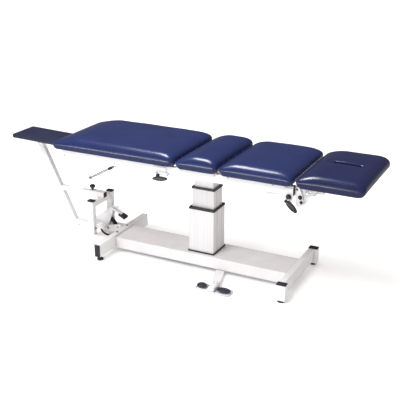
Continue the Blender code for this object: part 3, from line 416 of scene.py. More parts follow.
# ------------------------------------------------------------------ pieces
def add_piece(name, bm, material, body, slot, sharp=None, bevel=0.0, subdivide=0,
              replaces=None):
    """A finished piece riding on a body; edges steeper than sharp degrees stay hard."""
    bmesh.ops.recalc_face_normals(bm, faces=bm.faces)
    mesh = bpy.data.meshes.new(name)
    bm.to_mesh(mesh)
    bm.free()
    piece = bpy.data.objects.new(name, mesh)
    PARTS.objects.link(piece)
    mesh.materials.append(material)
    if bevel:
        edge = piece.modifiers.new("edge", "BEVEL")
        edge.width = bevel
        edge.segments = 2
        edge.limit_method = "ANGLE"
        edge.angle_limit = radians(32)
    if subdivide:
        add_subdivision(piece, subdivide)
    mesh.shade_smooth()
    if sharp is not None:
        mesh.set_sharp_from_angle(angle=radians(sharp))
    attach(piece, body)
    if replaces:
        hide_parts(replaces)
    return piece


def add_subdivision(piece, levels):
    smooth = piece.modifiers.new("smooth", "SUBSURF")
    smooth.levels = smooth.render_levels = levels


def add_built(name, material, body, slot, build, **options):
    """A piece whose shapes the build function adds to an empty bmesh."""
    bm = bmesh.new()
    build(bm)
    add_piece(name, bm, material, body, slot, **options)


def join(bm, other):
    mesh = bpy.data.meshes.new("tmp")
    other.to_mesh(mesh)
    other.free()
    bm.from_mesh(mesh)
    bpy.data.meshes.remove(mesh)


def loft(bm, rings, flip=False, caps=True):
    """Skin over rings of equal length; flip reverses the winding."""
    for a, b in zip(rings, rings[1:]):
        for i in range(len(a)):
            j = (i + 1) % len(a)
            bm.faces.new((a[i], b[i], b[j], a[j]) if flip else (a[i], a[j], b[j], b[i]))
    if caps:
        bm.faces.new(rings[0] if flip else rings[0][::-1])
        bm.faces.new(rings[-1][::-1] if flip else rings[-1])


def lathe(bm, profile, origin, axis, sides, wave=None):
    """Turned shape: (radius, height) pairs about an axis through origin.
    wave(angle, height) scales the radius."""
    turn = Vector(axis).normalized().to_track_quat("Z", "Y")
    origin = Vector(origin)
    rings = []
    for radius, height in profile:
        if radius < 1e-6:
            rings.append([bm.verts.new(origin + turn @ Vector((0, 0, height)))])
            continue
        ring = []
        for k in range(sides):
            angle = 2 * pi * k / sides
            r = radius * (wave(angle, height) if wave else 1.0)
            ring.append(bm.verts.new(origin + turn @ Vector((r * cos(angle), r * sin(angle),
                                                             height))))
        rings.append(ring)
    for a, b in zip(rings, rings[1:]):
        for i in range(sides):
            j = (i + 1) % sides
            if len(a) == 1:
                bm.faces.new((a[0], b[i], b[j]))
            elif len(b) == 1:
                bm.faces.new((a[i], b[0], a[j]))
            else:
                bm.faces.new((a[i], b[i], b[j], a[j]))


def tube(bm, points, radius, sides):
    """Round bar along a line of points; radius is a number or one per point."""
    radii = radius if isinstance(radius, (list, tuple)) else [radius] * len(points)
    points = [Vector(point) for point in points]
    rings = []
    across = None
    for i, (point, r) in enumerate(zip(points, radii)):
        along = (points[min(i + 1, len(points) - 1)] - points[max(i - 1, 0)]).normalized()
        if across is None:
            across = along.orthogonal().normalized()
        across = (across - along * across.dot(along)).normalized()
        other = along.cross(across)
        ring = []
        for k in range(sides):
            angle = 2 * pi * k / sides
            ring.append(bm.verts.new(point + (across * cos(angle) + other * sin(angle)) * r))
        rings.append(ring)
    loft(bm, rings)


def plate(bm, outline, y0, y1):
    """Flat plate from y0 to y1, cut from an (x, z) outline."""
    part = bmesh.new()
    front = [part.verts.new((x, y0, z)) for x, z in outline]
    rear = [part.verts.new((x, y1, z)) for x, z in outline]
    part.faces.new(front)
    part.faces.new(rear[::-1])
    loft(part, [front, rear], flip=True, caps=False)
    join(bm, part)


def add_white_plate(name, body, outline, y0, y1, bevel):
    add_built(name, WHITE, body, "white_paint", lambda bm: plate(bm, outline, y0, y1),
              bevel=bevel, sharp=40)


def bolt(bm, origin, axis, r):
    """Hex bolt head with a chamfered top, on a washer."""
    washer = 0.0014
    lathe(bm, [(0, 0), (r * 1.55, 0), (r * 1.6, washer * 0.4), (r * 1.5, washer), (0, washer)],
          origin, axis, sides=20)
    lathe(bm, [(0, -0.0004), (r, -0.0004), (r, r * 0.55), (r * 0.86, r * 0.72), (0, r * 0.74)],
          Vector(origin) + Vector(axis).normalized() * washer, axis, sides=6)


def button(bm, origin, axis, r):
    """Button-head screw with a sunk centre."""
    lathe(bm, [(0, -0.0003), (r, -0.0003), (r * 0.98, r * 0.25), (r * 0.75, r * 0.52),
               (r * 0.42, r * 0.60), (r * 0.36, r * 0.28), (0, r * 0.26)],
          origin, axis, sides=14)


def add_fasteners(name, body, shape, rows, material=ZINC):
    """Bolts or buttons, one for each row of place, axis and radius."""
    def build(bm):
        for place, axis, radius in rows:
            shape(bm, place, axis, radius)
    add_built(name, material, body, "bright_steel", build, sharp=35)


# ------------------------------------------------------------------ upholstery
GRID_STEP = 0.013      # widest spacing of a pad's grid lines
HEM = 0.032            # how far the cover turns in under the board
HEM_X, HEM_Y = HEM + 0.012, HEM
HEM_DROP = 0.0011      # underside of the cover below the board
LINING = 0.0135        # inner face above the hem
WIDEST = 0.0249        # widest line above the bottom of the CAD cushion
TUCK_Y = 0.020         # how far the long sides draw in
TUCK_SHARE = 0.72
SIDE_BOW = 0.0022      # extra draw-in between the corners
PLEAT = 0.0013         # depth of the corner pleats
SLOT_LIP = 0.018       # rounding of the top beside a slot
SWELL = 0.0022         # rise left for the cloth pressure to make up
# ring places down the side, as shares of the way from widest line to hem
SIDE_STEPS = (0.10, 0.22, 0.34, 0.46, 0.56, 0.66, 0.75, 0.83, 0.90, 0.96)
# turned hem: height over the hem, side share, extra inset
HEM_RINGS = ((0.0004, 1.0, 0.0006), (0.0, 1.05, 0.0025), (0.0, 1.15, 0.006))


def smooth_step(t):
    t = max(0.0, min(1.0, t))
    return t * t * (3 - 2 * t)


def roll(distance, reach, power):
    """Rolled edge: 0 at the edge, 1 from reach inwards."""
    share = max(0.0, min(1.0, distance / reach))
    return (1 - abs(1 - share) ** power) ** (1 / power)


def quarter_steps(size, count):
    return [size * (1 - cos(pi / 2 * k / count)) for k in range(count + 1)]


def between(a, b):
    count = max(1, round((b - a) / GRID_STEP))
    return [a + (b - a) * k / count for k in range(1, count)]


def grid_lines(low, high, roll_low, roll_high, gap):
    """Grid lines, closer in the rolled margins and beside a gap; and the gap's indices."""
    def margin(reach):
        return quarter_steps(reach, max(6, int(reach / 0.011)))
    first = [low + step for step in margin(roll_low)]
    last = [high - step for step in reversed(margin(roll_high))]
    if gap is None:
        return first + between(first[-1], last[0]) + last, None
    lip = quarter_steps(SLOT_LIP, 5)
    gap_low = [gap[0] - step for step in reversed(lip)]
    gap_high = [gap[1] + step for step in lip]
    before = first + between(first[-1], gap_low[0]) + gap_low
    inside = between(*gap)
    after = gap_high + between(gap_high[-1], last[0]) + last
    return before + inside + after, (len(before) - 1, len(before) + len(inside))


def grid_rim(i0, i1, j0, j1):
    return ([(i, j0) for i in range(i0, i1)] + [(i1, j) for j in range(j0, j1)]
            + [(i, j1) for i in range(i1, i0, -1)] + [(i0, j) for j in range(j1, j0, -1)])


class Pad:
    """An upholstered pad. Its crowned top rolls over at the foot (-X), head (+X) and
    side edges; each roll is a (reach, power) pair. The sides are widest part-way up,
    drawn in under the board, with small pleats at the corners and a turned hem.
    slot is the x centre, length and width of a hole along the middle."""

    def __init__(self, low, high, z_hem, z_wide, rise, crown, foot, head, side, corner,
                 tuck_x, slot):
        self.x0, self.x1, self.y0, self.y1 = low.x, high.x, low.y, high.y
        self.half_x, self.half_y = (high.x - low.x) / 2, (high.y - low.y) / 2
        self.middle_x, self.middle_y = (low.x + high.x) / 2, (low.y + high.y) / 2
        self.z_hem, self.z_wide, self.z_lining = z_hem, z_wide, z_hem + LINING
        self.rise, self.crown, self.corner = rise, crown, corner
        self.tuck_x, self.slot, self.side = tuck_x, slot, side
        longest = (high.x - low.x) * 0.46
        self.foot = (min(foot[0], longest), foot[1])
        self.head = (min(head[0], longest), head[1])
        gap_x = gap_y = None
        if slot:
            slot_x, length, width = slot
            gap_x = (slot_x - length / 2, slot_x + length / 2)
            gap_y = (-width / 2, width / 2)
        self.xs, self.gap_i = grid_lines(low.x, high.x, self.foot[0], self.head[0], gap_x)
        self.ys, self.gap_j = grid_lines(low.y, high.y, side[0], side[0], gap_y)
        self.bm = bmesh.new()
        self.build_grids()
        self.build_sides()
        if slot:
            self.build_slot_wall()
        bmesh.ops.recalc_face_normals(self.bm, faces=self.bm.faces)

    def build_grids(self):
        """Top and underside, with the slot left open."""
        self.top, self.low = {}, {}
        for i, x in enumerate(self.xs):
            for j, y in enumerate(self.ys):
                if self.slot and (self.gap_i[0] < i < self.gap_i[1]
                                  and self.gap_j[0] < j < self.gap_j[1]):
                    continue
                self.top[i, j] = self.bm.verts.new(self.top_point(x, y))
                self.low[i, j] = self.bm.verts.new((*self.grid_plan(x, y, HEM_X, HEM_Y),
                                                    self.z_lining))
        top, low = self.top, self.low
        for i in range(len(self.xs) - 1):
            for j in range(len(self.ys) - 1):
                if self.slot and (self.gap_i[0] <= i < self.gap_i[1]
                                  and self.gap_j[0] <= j < self.gap_j[1]):
                    continue
                self.bm.faces.new((top[i, j], top[i + 1, j], top[i + 1, j + 1], top[i, j + 1]))
                self.bm.faces.new((low[i, j], low[i, j + 1], low[i + 1, j + 1], low[i + 1, j]))

    def build_sides(self):
        # height, tuck share, side share, extra inset
        rows = [(self.z_wide - (self.z_wide - self.z_hem) * t, 1 - sqrt(1 - t * t), t, 0.0)
                for t in SIDE_STEPS]
        rows += [(self.z_hem + lift, 1.0, t, inset) for lift, t, inset in HEM_RINGS]
        rim = grid_rim(0, len(self.xs) - 1, 0, len(self.ys) - 1)
        places = [(self.xs[i], self.ys[j]) for i, j in rim]
        rings = [[self.top[key] for key in rim]]
        for z, tuck, share, inset in rows:
            rings.append([self.bm.verts.new((*self.side_plan(x, y, tuck, share, inset), z))
                          for x, y in places])
        rings.append([self.bm.verts.new((*self.pinch(x, y, HEM_X, HEM_Y, 1.0), self.z_hem))
                      for x, y in places])
        rings.append([self.low[key] for key in rim])
        loft(self.bm, rings, flip=True, caps=False)

    def build_slot_wall(self):
        rim = grid_rim(*self.gap_i, *self.gap_j)
        rings = [[self.top[key] for key in rim]]
        for share in (0.93, 0.80, 0.60, 0.40, 0.20):
            ring = []
            for key in rim:
                x, y, z = self.top[key].co
                ring.append(self.bm.verts.new((x, y,
                                               self.z_lining + (z - self.z_lining) * share)))
            rings.append(ring)
        rings.append([self.low[key] for key in rim])
        loft(self.bm, rings, caps=False)

    def top_point(self, x, y):
        from_foot, from_head = x - self.x0, self.x1 - x
        from_side = min(y - self.y0, self.y1 - y)
        z = self.z_wide + self.rise * roll(from_foot, *self.foot) \
            * roll(from_head, *self.head) * roll(from_side, *self.side)
        z += self.crown * (1 - ((x - self.middle_x) / self.half_x) ** 2) \
            * (1 - ((y - self.middle_y) / self.half_y) ** 2)
        # a little unevenness in the foam
        z += 0.0007 * sin(x * 23 + 1.3) * sin(y * 17 + 0.7) * roll(from_foot, self.foot[0], 2) \
            * roll(from_head, self.head[0], 2) * roll(from_side, self.side[0], 2)
        px, py = self.grid_plan(x, y, 0.0, 0.0)
        if self.slot:
            # a shallow dip towards the slot, then its rounded lip
            distance = self.slot_distance(px, py)
            if distance < 0.060:
                z -= 0.0035 * (1 - smooth_step(max(distance, 0) / 0.060))
            if distance < SLOT_LIP:
                share = 1 - max(distance, 0) / SLOT_LIP
                z -= 0.012 * (1 - sqrt(max(0.0, 1 - share ** 2)))
        return px, py, z

    def grid_plan(self, x, y, inset_x, inset_y):
        x, y = self.plan(x, y, inset_x, inset_y)
        return self.round_slot(x, y) if self.slot else (x, y)

    def plan(self, x, y, inset_x, inset_y):
        """Where a grid point sits in plan: drawn in, corners rounded."""
        x = max(self.x0 + inset_x, min(self.x1 - inset_x, x))
        y = max(self.y0 + inset_y, min(self.y1 - inset_y, y))
        r = max(self.corner - inset_y, 0.012)
        x_low, x_high = self.x0 + inset_x + r, self.x1 - inset_x - r
        y_low, y_high = self.y0 + inset_y + r, self.y1 - inset_y - r
        centre_x = x_low if x < x_low else x_high if x > x_high else x
        centre_y = y_low if y < y_low else y_high if y > y_high else y
        u, v = (x - centre_x) / r, (y - centre_y) / r
        return (centre_x + u * sqrt(max(0.0, 1 - v * v / 2)) * r,
                centre_y + v * sqrt(max(0.0, 1 - u * u / 2)) * r)

    def pinch(self, x, y, inset_x, inset_y, share):
        """The plan, drawn in more between the corners."""
        px, py = self.plan(x, y, inset_x, inset_y)
        across_x = (x - self.middle_x) / self.half_x
        across_y = (y - self.middle_y) / self.half_y
        bow = sin(pi * min(share, 1.0)) * SIDE_BOW
        crease = 0.0
        if 0.50 < share < 0.80:
            # tack-strip crease where the foam meets the board
            crease = 0.0014 * exp(-((share - 0.62) / 0.07) ** 2)
        if abs(abs(across_y) - 1) < 1e-6:
            py -= (1 if across_y > 0 else -1) * (bow * (1 - across_x ** 4) + crease)
        if abs(abs(across_x) - 1) < 1e-6:
            px -= (1 if across_x > 0 else -1) * (bow * (1 - across_y ** 4) + crease)
        return px, py

    def side_plan(self, x, y, tuck, share, inset):
        """A side point in plan, with the corner pleats."""
        inset_x = self.tuck_x * tuck * TUCK_SHARE + inset
        inset_y = TUCK_Y * tuck * TUCK_SHARE + inset
        px, py = self.pinch(x, y, inset_x, inset_y, share)
        at_foot, at_front = x < self.middle_x, y < self.middle_y
        r = max(self.corner - inset_y, 0.012)
        centre_x = self.x0 + inset_x + r if at_foot else self.x1 - inset_x - r
        centre_y = self.y0 + inset_y + r if at_front else self.y1 - inset_y - r
        dx, dy = px - centre_x, py - centre_y
        if (dx < 0) == at_foot and (dy < 0) == at_front:
            angle = atan2(abs(dy), abs(dx))
            depth = max(0.0, sin(2 * angle)) ** 0.8 * smooth_step(share / 0.5)
            stretch = 1 + PLEAT * depth * cos(angle * 20) / max(hypot(dx, dy), 1e-4)
            px, py = centre_x + dx * stretch, centre_y + dy * stretch
        return px, py

    def slot_distance(self, x, y):
        slot_x, length, width = self.slot
        r = width / 2
        return hypot(max(0.0, abs(x - slot_x) - (length / 2 - r)), y) - r

    def round_slot(self, x, y):
        """Bends the grid round the slot's ends, fading out away from them."""
        slot_x, length, width = self.slot
        r = width / 2
        side = 1 if x > slot_x else -1
        centre = slot_x + side * (length / 2 - r)
        u, v = (x - centre) * side / r, y / r
        reach = max(abs(u), abs(v))
        if u <= 0 or reach > 2.4:
            return x, y
        a, b = u / max(reach, 1e-6), v / max(reach, 1e-6)
        a, b = a * sqrt(1 - b * b / 2), b * sqrt(1 - a * a / 2)
        t = smooth_step((reach - 1) / 1.4)
        u, v = u * t + a * reach * (1 - t), v * t + b * reach * (1 - t)
        return centre + side * u * r, v * r


def read_points(vertices):
    flat = np.zeros(len(vertices) * 3)
    vertices.foreach_get("co", flat)
    return flat.reshape(-1, 3)


def inflate(piece, z_fixed, limit):
    """Cloth with a little pressure inside: the cover swells, at most by limit."""
    mesh = piece.data
    rest = read_points(mesh.vertices)
    pin = piece.vertex_groups.new(name="pin")
    for vertex in mesh.vertices:
        z = vertex.co.z
        weight = 1.0 if z < z_fixed else max(0.0, 1 - (z - z_fixed) / 0.020) ** 2
        pin.add([vertex.index], weight, "REPLACE")
    cloth = piece.modifiers.new("cloth", "CLOTH")
    settings = cloth.settings
    settings.quality = 5
    settings.mass = 0.3
    settings.tension_stiffness = settings.compression_stiffness = 40
    settings.shear_stiffness = 20
    settings.bending_stiffness = 4.0
    settings.vertex_group_mass = "pin"
    settings.use_pressure = True
    settings.uniform_pressure_force = 4.0
    settings.effector_weights.gravity = 0.0
    cloth.collision_settings.use_collision = False
    cloth.collision_settings.use_self_collision = False
    for step in range(1, 21):
        SCENE.frame_set(step)
    depsgraph = bpy.context.evaluated_depsgraph_get()
    swollen = read_points(piece.evaluated_get(depsgraph).data.vertices)
    piece.modifiers.remove(cloth)
    piece.vertex_groups.clear()
    SCENE.frame_set(1)
    move = swollen - rest
    size = np.linalg.norm(move, axis=1, keepdims=True)
    move = move * limit / (limit + size)
    mesh.vertices.foreach_set("co", (rest + move).ravel())
    mesh.update()


def add_cushion(section, body, material, rise, tuck_x=0.036, slot=None, **shape):
    low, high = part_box(f"{section}_cushion")
    board_low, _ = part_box(f"{section}_board")
    swell = SWELL
    pad = Pad(low, high, z_hem=board_low.z - HEM_DROP, z_wide=low.z + WIDEST,
              rise=rise - swell, tuck_x=tuck_x, slot=slot, **shape)
    piece = add_piece(f"{section}_upholstery", pad.bm, material, body, "navy_vinyl")
    inflate(piece, z_fixed=low.z + 0.006, limit=0.005)
    add_subdivision(piece, 1)
    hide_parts(f"{section}_cushion")


add_cushion("leg", "leg_section", NAVY, rise=0.0501, crown=0.0143, foot=(0.214, 1.29),
            head=(0.129, 2.80), side=(0.0559, 2.22), corner=0.041)
add_cushion("seat", "top_frame", NAVY, rise=0.0521, crown=0.0143, foot=(0.180, 1.39),
            head=(0.097, 3.00), side=(0.0530, 2.29), corner=0.034)
add_cushion("back", "top_frame", NAVY, rise=0.0480, crown=0.0125, foot=(0.1232, 1.71),
            head=(0.1123, 2.51), side=(0.0589, 2.17), corner=0.034)
add_cushion("head", "head_section", NAVY_HEAD_SHADED, rise=0.0530, crown=0.0154,
            foot=(0.1489, 1.82), head=(0.0692, 2.34), side=(0.0524, 2.21), corner=0.030,
            tuck_x=0.049, slot=(COLUMN_X + 0.915, 0.200, 0.040))

# ------------------------------------------------------------------ shelf
SHELF_LENGTH, SHELF_WIDTH, SHELF_THICK = 0.385, 0.246, 0.024
SHELF_CORNER, SHELF_EDGE = 0.020, 0.0045
SHELF_TILT = radians(1.5)


def rounded_rectangle(half_x, half_y, r, steps=6):
    points = []
    for side_x, side_y, start in ((1, -1, -90), (1, 1, 0), (-1, 1, 90), (-1, -1, 180)):
        for k in range(steps + 1):
            angle = radians(start + 90 * k / steps)
            points.append((side_x * (half_x - r) + r * cos(angle),
                           side_y * (half_y - r) + r * sin(angle)))
    return points


def add_shelf(steps=5):
    """Laminate board with round corners and a rounded edge all round."""
    bm = bmesh.new()
    rings = []
    for k in range(steps + 1):
        angle = -pi / 2 + pi * k / steps
        inset = SHELF_EDGE * (1 - cos(angle))
        z = (SHELF_THICK / 2 - SHELF_EDGE) * (1 if angle > 0 else -1) + SHELF_EDGE * sin(angle)
        outline = rounded_rectangle(SHELF_LENGTH / 2 - inset, SHELF_WIDTH / 2 - inset,
                                    SHELF_CORNER - inset)
        rings.append([bm.verts.new((x, y, z)) for x, y in outline])
    loft(bm, rings)
    bmesh.ops.rotate(bm, verts=bm.verts, cent=(0, 0, 0),
                     matrix=Matrix.Rotation(SHELF_TILT, 3, "Y"))
    low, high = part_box("shelf_board")
    bmesh.ops.translate(bm, verts=bm.verts, vec=(low + high) / 2)
    add_piece("shelf_top", bm, LAMINATE, "traction_stand", "shelf_laminate", sharp=40,
              replaces="shelf_board")


add_shelf()

# ------------------------------------------------------------------ screws, welds, staples
RAIL_Y = 0.2668        # outer faces of the deck rails
# x, z and radius of the screws in each rail
RAIL_SCREWS = (
    (-0.055, 0.7300, 0.0045), (0.175, 0.7300, 0.0045), (0.265, 0.7300, 0.0045),
    (0.555, 0.7300, 0.0045), (-0.932, 0.7000, 0.0038), (-0.540, 0.7000, 0.0038),
)
add_fasteners("rail_screws", "top_frame", button,
              [(at(x, side * RAIL_Y, z), (0, side, 0), radius)
               for x, z, radius in RAIL_SCREWS for side in (-1, 1)])
add_fasteners("stand_bolts", "base", bolt,
              [(at(-0.8120, y, 0.1380), RIGHT, 0.0060) for y in (-0.1200, 0.1200)]
              + [(at(-0.6675, y, 0.1190), UP, 0.0065) for y in (-0.0660, 0.0660)])


def collar_screws(collar, inset):
    """Two screws on each side of a collar, inset by a share of its width."""
    low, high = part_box(collar)
    z = (low.z + high.z) / 2
    radius = 0.0026
    rows = []
    for share in (inset, 1 - inset):
        x = low.x + (high.x - low.x) * share
        rows += [((x, low.y, z), FRONT, radius), ((x, high.y, z), REAR, radius)]
    for share in (inset, 1 - inset):
        y = low.y + (high.y - low.y) * share
        rows += [((high.x, y, z), RIGHT, radius), ((low.x, y, z), LEFT, radius)]
    return rows


add_fasteners("collar_screws", "base", button,
              collar_screws("column_lower_collar", 0.14)
              + collar_screws("column_foot_collar", 0.14), CHROME)
add_fasteners("middle_collar_screws", "middle_stage", button,
              collar_screws("column_middle_collar", 0.16), CHROME)


def weld_bead(bm, start, end, radius, seed):
    """Weld bead: a rippled bar lying in a corner."""
    count = max(4, int((end - start).length / 0.0028))
    points, radii = [], []
    for i in range(count + 1):
        t = i / count
        points.append(start.lerp(end, t))
        taper = min(1.0, 6 * t, 6 * (1 - t)) * 0.6 + 0.4
        ripple = 1 + 0.13 * sin(i * 2.4 + seed) + 0.05 * sin(i * 0.9 + seed)
        radii.append(radius * taper * ripple)
    tube(bm, points, radii, sides=7)


def base_welds(bm):
    """Upright and level beads: beam to crossbar, and beam to foot frame."""
    for side in (-1, 1):
        y = side * 0.1232
        for x, seed in ((-0.6457, side), (0.6205, side + 2)):
            weld_bead(bm, at(x, y, 0.0290), at(x, y, 0.1040), radius=0.0030, seed=seed)
    for x, seed in ((-0.6455, 5), (0.6203, 6)):
        weld_bead(bm, at(x, -0.1220, 0.1060), at(x, 0.1220, 0.1060), radius=0.0026, seed=seed)


add_built("base_welds", WHITE, "base", "white_paint", base_welds, sharp=60)

STAPLE_LENGTH, STAPLE_WIDTH, STAPLE_HEIGHT = 0.011, 0.0012, 0.0008
STAPLE_PITCH = 0.030
STAPLE_MARGIN = 0.03   # left free at each end of a row
STAPLE_INSET = 0.010   # from the board's edge
STAPLE_WOBBLE = 0.0015
STAPLE_DROP = 0.0013   # below the board


def add_staples(section, body):
    """A row of staples along each edge, on the board's underside."""
    low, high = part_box(f"{section}_board")
    z = low.z - STAPLE_DROP

    def staple(bm, x, y, size_x, size_y):
        for vertex in bmesh.ops.create_cube(bm, size=1.0)["verts"]:
            corner = vertex.co
            vertex.co = Vector((x + corner.x * size_x, y + corner.y * size_y,
                                z + corner.z * STAPLE_HEIGHT))

    def stations(start, end):
        length = end - start - 2 * STAPLE_MARGIN
        count = int(length / STAPLE_PITCH)
        return [(k, start + STAPLE_MARGIN + length * k / count) for k in range(count + 1)]

    def inset(k, rate):
        return STAPLE_INSET + STAPLE_WOBBLE * sin(k * rate)

    def build(bm):
        for k, x in stations(low.x, high.x):
            for y in (low.y + inset(k, 5.1), high.y - inset(k, 3.7)):
                staple(bm, x, y, STAPLE_LENGTH, STAPLE_WIDTH)
        for k, y in stations(low.y, high.y):
            for x in (low.x + inset(k, 4.3), high.x - inset(k, 2.9)):
                staple(bm, x, y, STAPLE_WIDTH, STAPLE_LENGTH)

    add_built(f"{section}_staples", ZINC, body, "bright_steel", build, sharp=30)


for section, body in (("leg", "leg_section"), ("seat", "top_frame"), ("back", "top_frame"),
                      ("head", "head_section")):
    add_staples(section, body)


# ------------------------------------------------------------------ levers
def leaf(centre_x, centre_z, length, width, turn, steps):
    """(x, z) outline of a paddle handle: fuller in the middle, round ends."""
    points = []
    for k in range(steps):
        angle = 2 * pi * k / steps
        u, v = cos(angle), sin(angle)
        half = width / 2 * (1 - 0.30 * abs(u) ** 2.2)
        x, z = u * length / 2, (abs(v) ** 0.72) * (1 if v > 0 else -1) * half
        points.append((centre_x + x * cos(turn) - z * sin(turn),
                       centre_z + x * sin(turn) + z * cos(turn)))
    return points


def grip(bm, centre_x, centre_z, length, width, turn, y0, y1, steps=30, layers=7):
    """Pillow-shaped grip, broadest half way through."""
    rings = []
    for layer in range(layers + 1):
        angle = -pi / 2 + pi * layer / layers
        y = (y0 + y1) / 2 + (y1 - y0) / 2 * sin(angle)
        if layer in (0, layers):
            long_share, wide_share = 0.74, 0.5
        else:
            fullness = cos(angle) ** 0.55
            long_share, wide_share = 0.80 + 0.20 * fullness, 0.60 + 0.40 * fullness
        outline = leaf(centre_x, centre_z, length * long_share, width * wide_share, turn, steps)
        rings.append([bm.verts.new((x, y, z)) for x, z in outline])
    loft(bm, rings)


# section lock: white crank on its pivot, black grip below
SECTION = JOINTS["section_lock_turn"]
CRANK_X, CRANK_Z = 0.0740, -0.0020     # far end of the crank, from the pivot
CRANK_Y = 0.0030                       # its front face


def section_grip(bm):
    grip(bm, SECTION.x + 0.0260, SECTION.z - 0.0330, length=0.1080, width=0.0300,
         turn=radians(5), y0=SECTION.y - 0.0160, y1=SECTION.y + 0.0085)
    neck = ((0.0100, -0.028), (0.0110, -0.012), (0.0115, -0.003))
    tube(bm, [(SECTION.x + x, SECTION.y - 0.004, SECTION.z + z) for x, z in neck],
         [0.0150, 0.0125, 0.0105], sides=16)


def crank_outline():
    points = []
    for x, z, radius, start in ((CRANK_X, CRANK_Z, 0.0090, -pi / 2), (0, 0, 0.0125, pi / 2)):
        for k in range(9):
            angle = start + pi * k / 8
            points.append((SECTION.x + x + radius * cos(angle),
                           SECTION.z + z + radius * sin(angle)))
    return points


add_built("section_lock_grip", KNOB, "section_lock", "black_plastic", section_grip, sharp=50,
          subdivide=1, replaces="section_lock_lever")
add_white_plate("section_lock_crank", "section_lock", crank_outline(), SECTION.y + CRANK_Y,
                SECTION.y + 0.0075, bevel=0.0008)
add_fasteners("section_lock_bolt", "section_lock", bolt, [
    ((SECTION.x - 0.0010, SECTION.y + CRANK_Y, SECTION.z + 0.0010), FRONT, 0.0048),
    ((SECTION.x + CRANK_X, SECTION.y + CRANK_Y, SECTION.z + CRANK_Z), FRONT, 0.0052)])

# head lock: domed knob on the pivot, paddle below it
HEAD_PIVOT = JOINTS["head_lock_turn"]
HEAD_DROP = 0.0480     # pivot down to the middle of the paddle


def head_paddle(bm):
    x, y, z = HEAD_PIVOT
    lathe(bm, [(0, 0.0105), (0.0060, 0.0100), (0.0120, 0.0080), (0.0158, 0.0040),
               (0.0165, 0.0), (0.0160, -0.0040), (0.0120, -0.0062), (0.0090, -0.0064),
               (0.0090, -0.0082), (0, -0.0082)],
          (x - 0.0030, y - 0.0005, z + 0.0090), FRONT, sides=32,
          wave=lambda angle, h: 1 + (0.030 * cos(12 * angle) if -0.005 < h < 0.006 else 0.0))
    grip(bm, x + 0.0180, z - HEAD_DROP, length=0.0940, width=0.0330, turn=radians(-42),
         y0=y - 0.0160, y1=y + 0.0080)
    lathe(bm, [(0, 0.0170), (0.0060, 0.0165), (0.0095, 0.0130), (0.0100, 0.0060),
               (0.0080, 0.0), (0, 0.0)], (x - 0.0160, y, z - 0.0170), FRONT, sides=20)


def head_link_outline():
    along = Vector((0.0180, 0, -HEAD_DROP)).normalized()
    across = Vector((-along.z, 0, along.x))
    upper = Vector((HEAD_PIVOT.x, 0, HEAD_PIVOT.z))
    lower = Vector((HEAD_PIVOT.x + 0.0170, 0, HEAD_PIVOT.z - HEAD_DROP))
    corners = [upper + across * 0.0095, upper - across * 0.0095,
               lower - across * 0.0085, lower + across * 0.0085]
    return [(corner.x, corner.z) for corner in corners]


add_built("head_lock_paddle", KNOB, "head_lock", "black_plastic", head_paddle, sharp=50,
          replaces="head_lock_lever")
add_white_plate("head_lock_link", "head_lock", head_link_outline(), HEAD_PIVOT.y + 0.0028,
                HEAD_PIVOT.y + 0.0070, bevel=0.0008)

# leg lock: ball-ended steel rod in a black sleeve
LEG_PIVOT = JOINTS["leg_lock_turn"]
ROD_AXIS = Vector((-0.1960, 0, -0.1120)).normalized()


def leg_rod(bm):
    tube(bm, [LEG_PIVOT + ROD_AXIS * t for t in (0.040, 0.060, 0.100, 0.150, 0.200, 0.212)],
         [0.0056, 0.0074, 0.0082, 0.0078, 0.0056, 0.0050], sides=14)
    lathe(bm, [(0, -0.0125), (0.0050, -0.0112), (0.0085, -0.0088), (0.0112, -0.0045),
               (0.0118, 0.0), (0.0112, 0.0045), (0.0085, 0.0083), (0.0050, 0.0108),
               (0, 0.0118)], LEG_PIVOT + ROD_AXIS * 0.222, ROD_AXIS, sides=22)
    lathe(bm, [(0, 0.0080), (0.0060, 0.0078), (0.0105, 0.0052), (0.0110, 0.0),
               (0.0110, -0.0060), (0, -0.0060)], LEG_PIVOT, FRONT, sides=22)
    stub = ((0.006, 0, 0.0005), (0.024, 0, 0.0035), (0.040, 0, 0.0040))
    tube(bm, [LEG_PIVOT + Vector(offset) for offset in stub], [0.0036, 0.0032, 0.0024],
         sides=10)


def leg_sleeve(bm, steps=24):
    points, radii = [], []
    for k in range(steps + 1):
        t = k / steps
        points.append(LEG_PIVOT + Vector((0, -0.0060, 0)) + ROD_AXIS * (-0.010 + 0.058 * t))
        ribbed = 0.0092 + 0.0007 * cos(t * 2 * pi * 8)
        radii.append(ribbed * (0.80 if k in (0, steps) else 1.0))
    tube(bm, points, radii, sides=16)


add_built("leg_lock_rod", SATIN, "leg_lock", "bright_steel", leg_rod, sharp=50,
          replaces="leg_lock_lever")
add_built("leg_lock_sleeve", RUBBER, "leg_lock", "black_plastic", leg_sleeve, sharp=60)


def clamp_knob(bm):
    """Fluted knob with a sunk cap."""
    low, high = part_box("stand_clamp_knob")
    middle = (low + high) / 2
    origin = (middle.x, middle.y, 0)
    r = (high.x - low.x) / 2
    top, bottom = high.z, low.z
    lathe(bm, [(0, top - 0.0030), (0.0080, top - 0.0032), (0.0088, top - 0.0010),
               (0.0110, top - 0.0010)], origin, UP, sides=42)
    lathe(bm, [(0.0110, top - 0.0010), (r * 0.70, top - 0.0020), (r * 0.92, top - 0.0060),
               (r, top - 0.0110), (r * 0.98, top - 0.0190), (r * 0.80, top - 0.0235),
               (r * 0.50, top - 0.0250), (0.0100, top - 0.0270), (0.0085, bottom + 0.0060),
               (0.0050, bottom + 0.0050), (0.0050, bottom), (0, bottom)], origin, UP, sides=42,
          wave=lambda angle, h: 1 - 0.10 * (0.5 + 0.5 * cos(7 * angle)) ** 2)


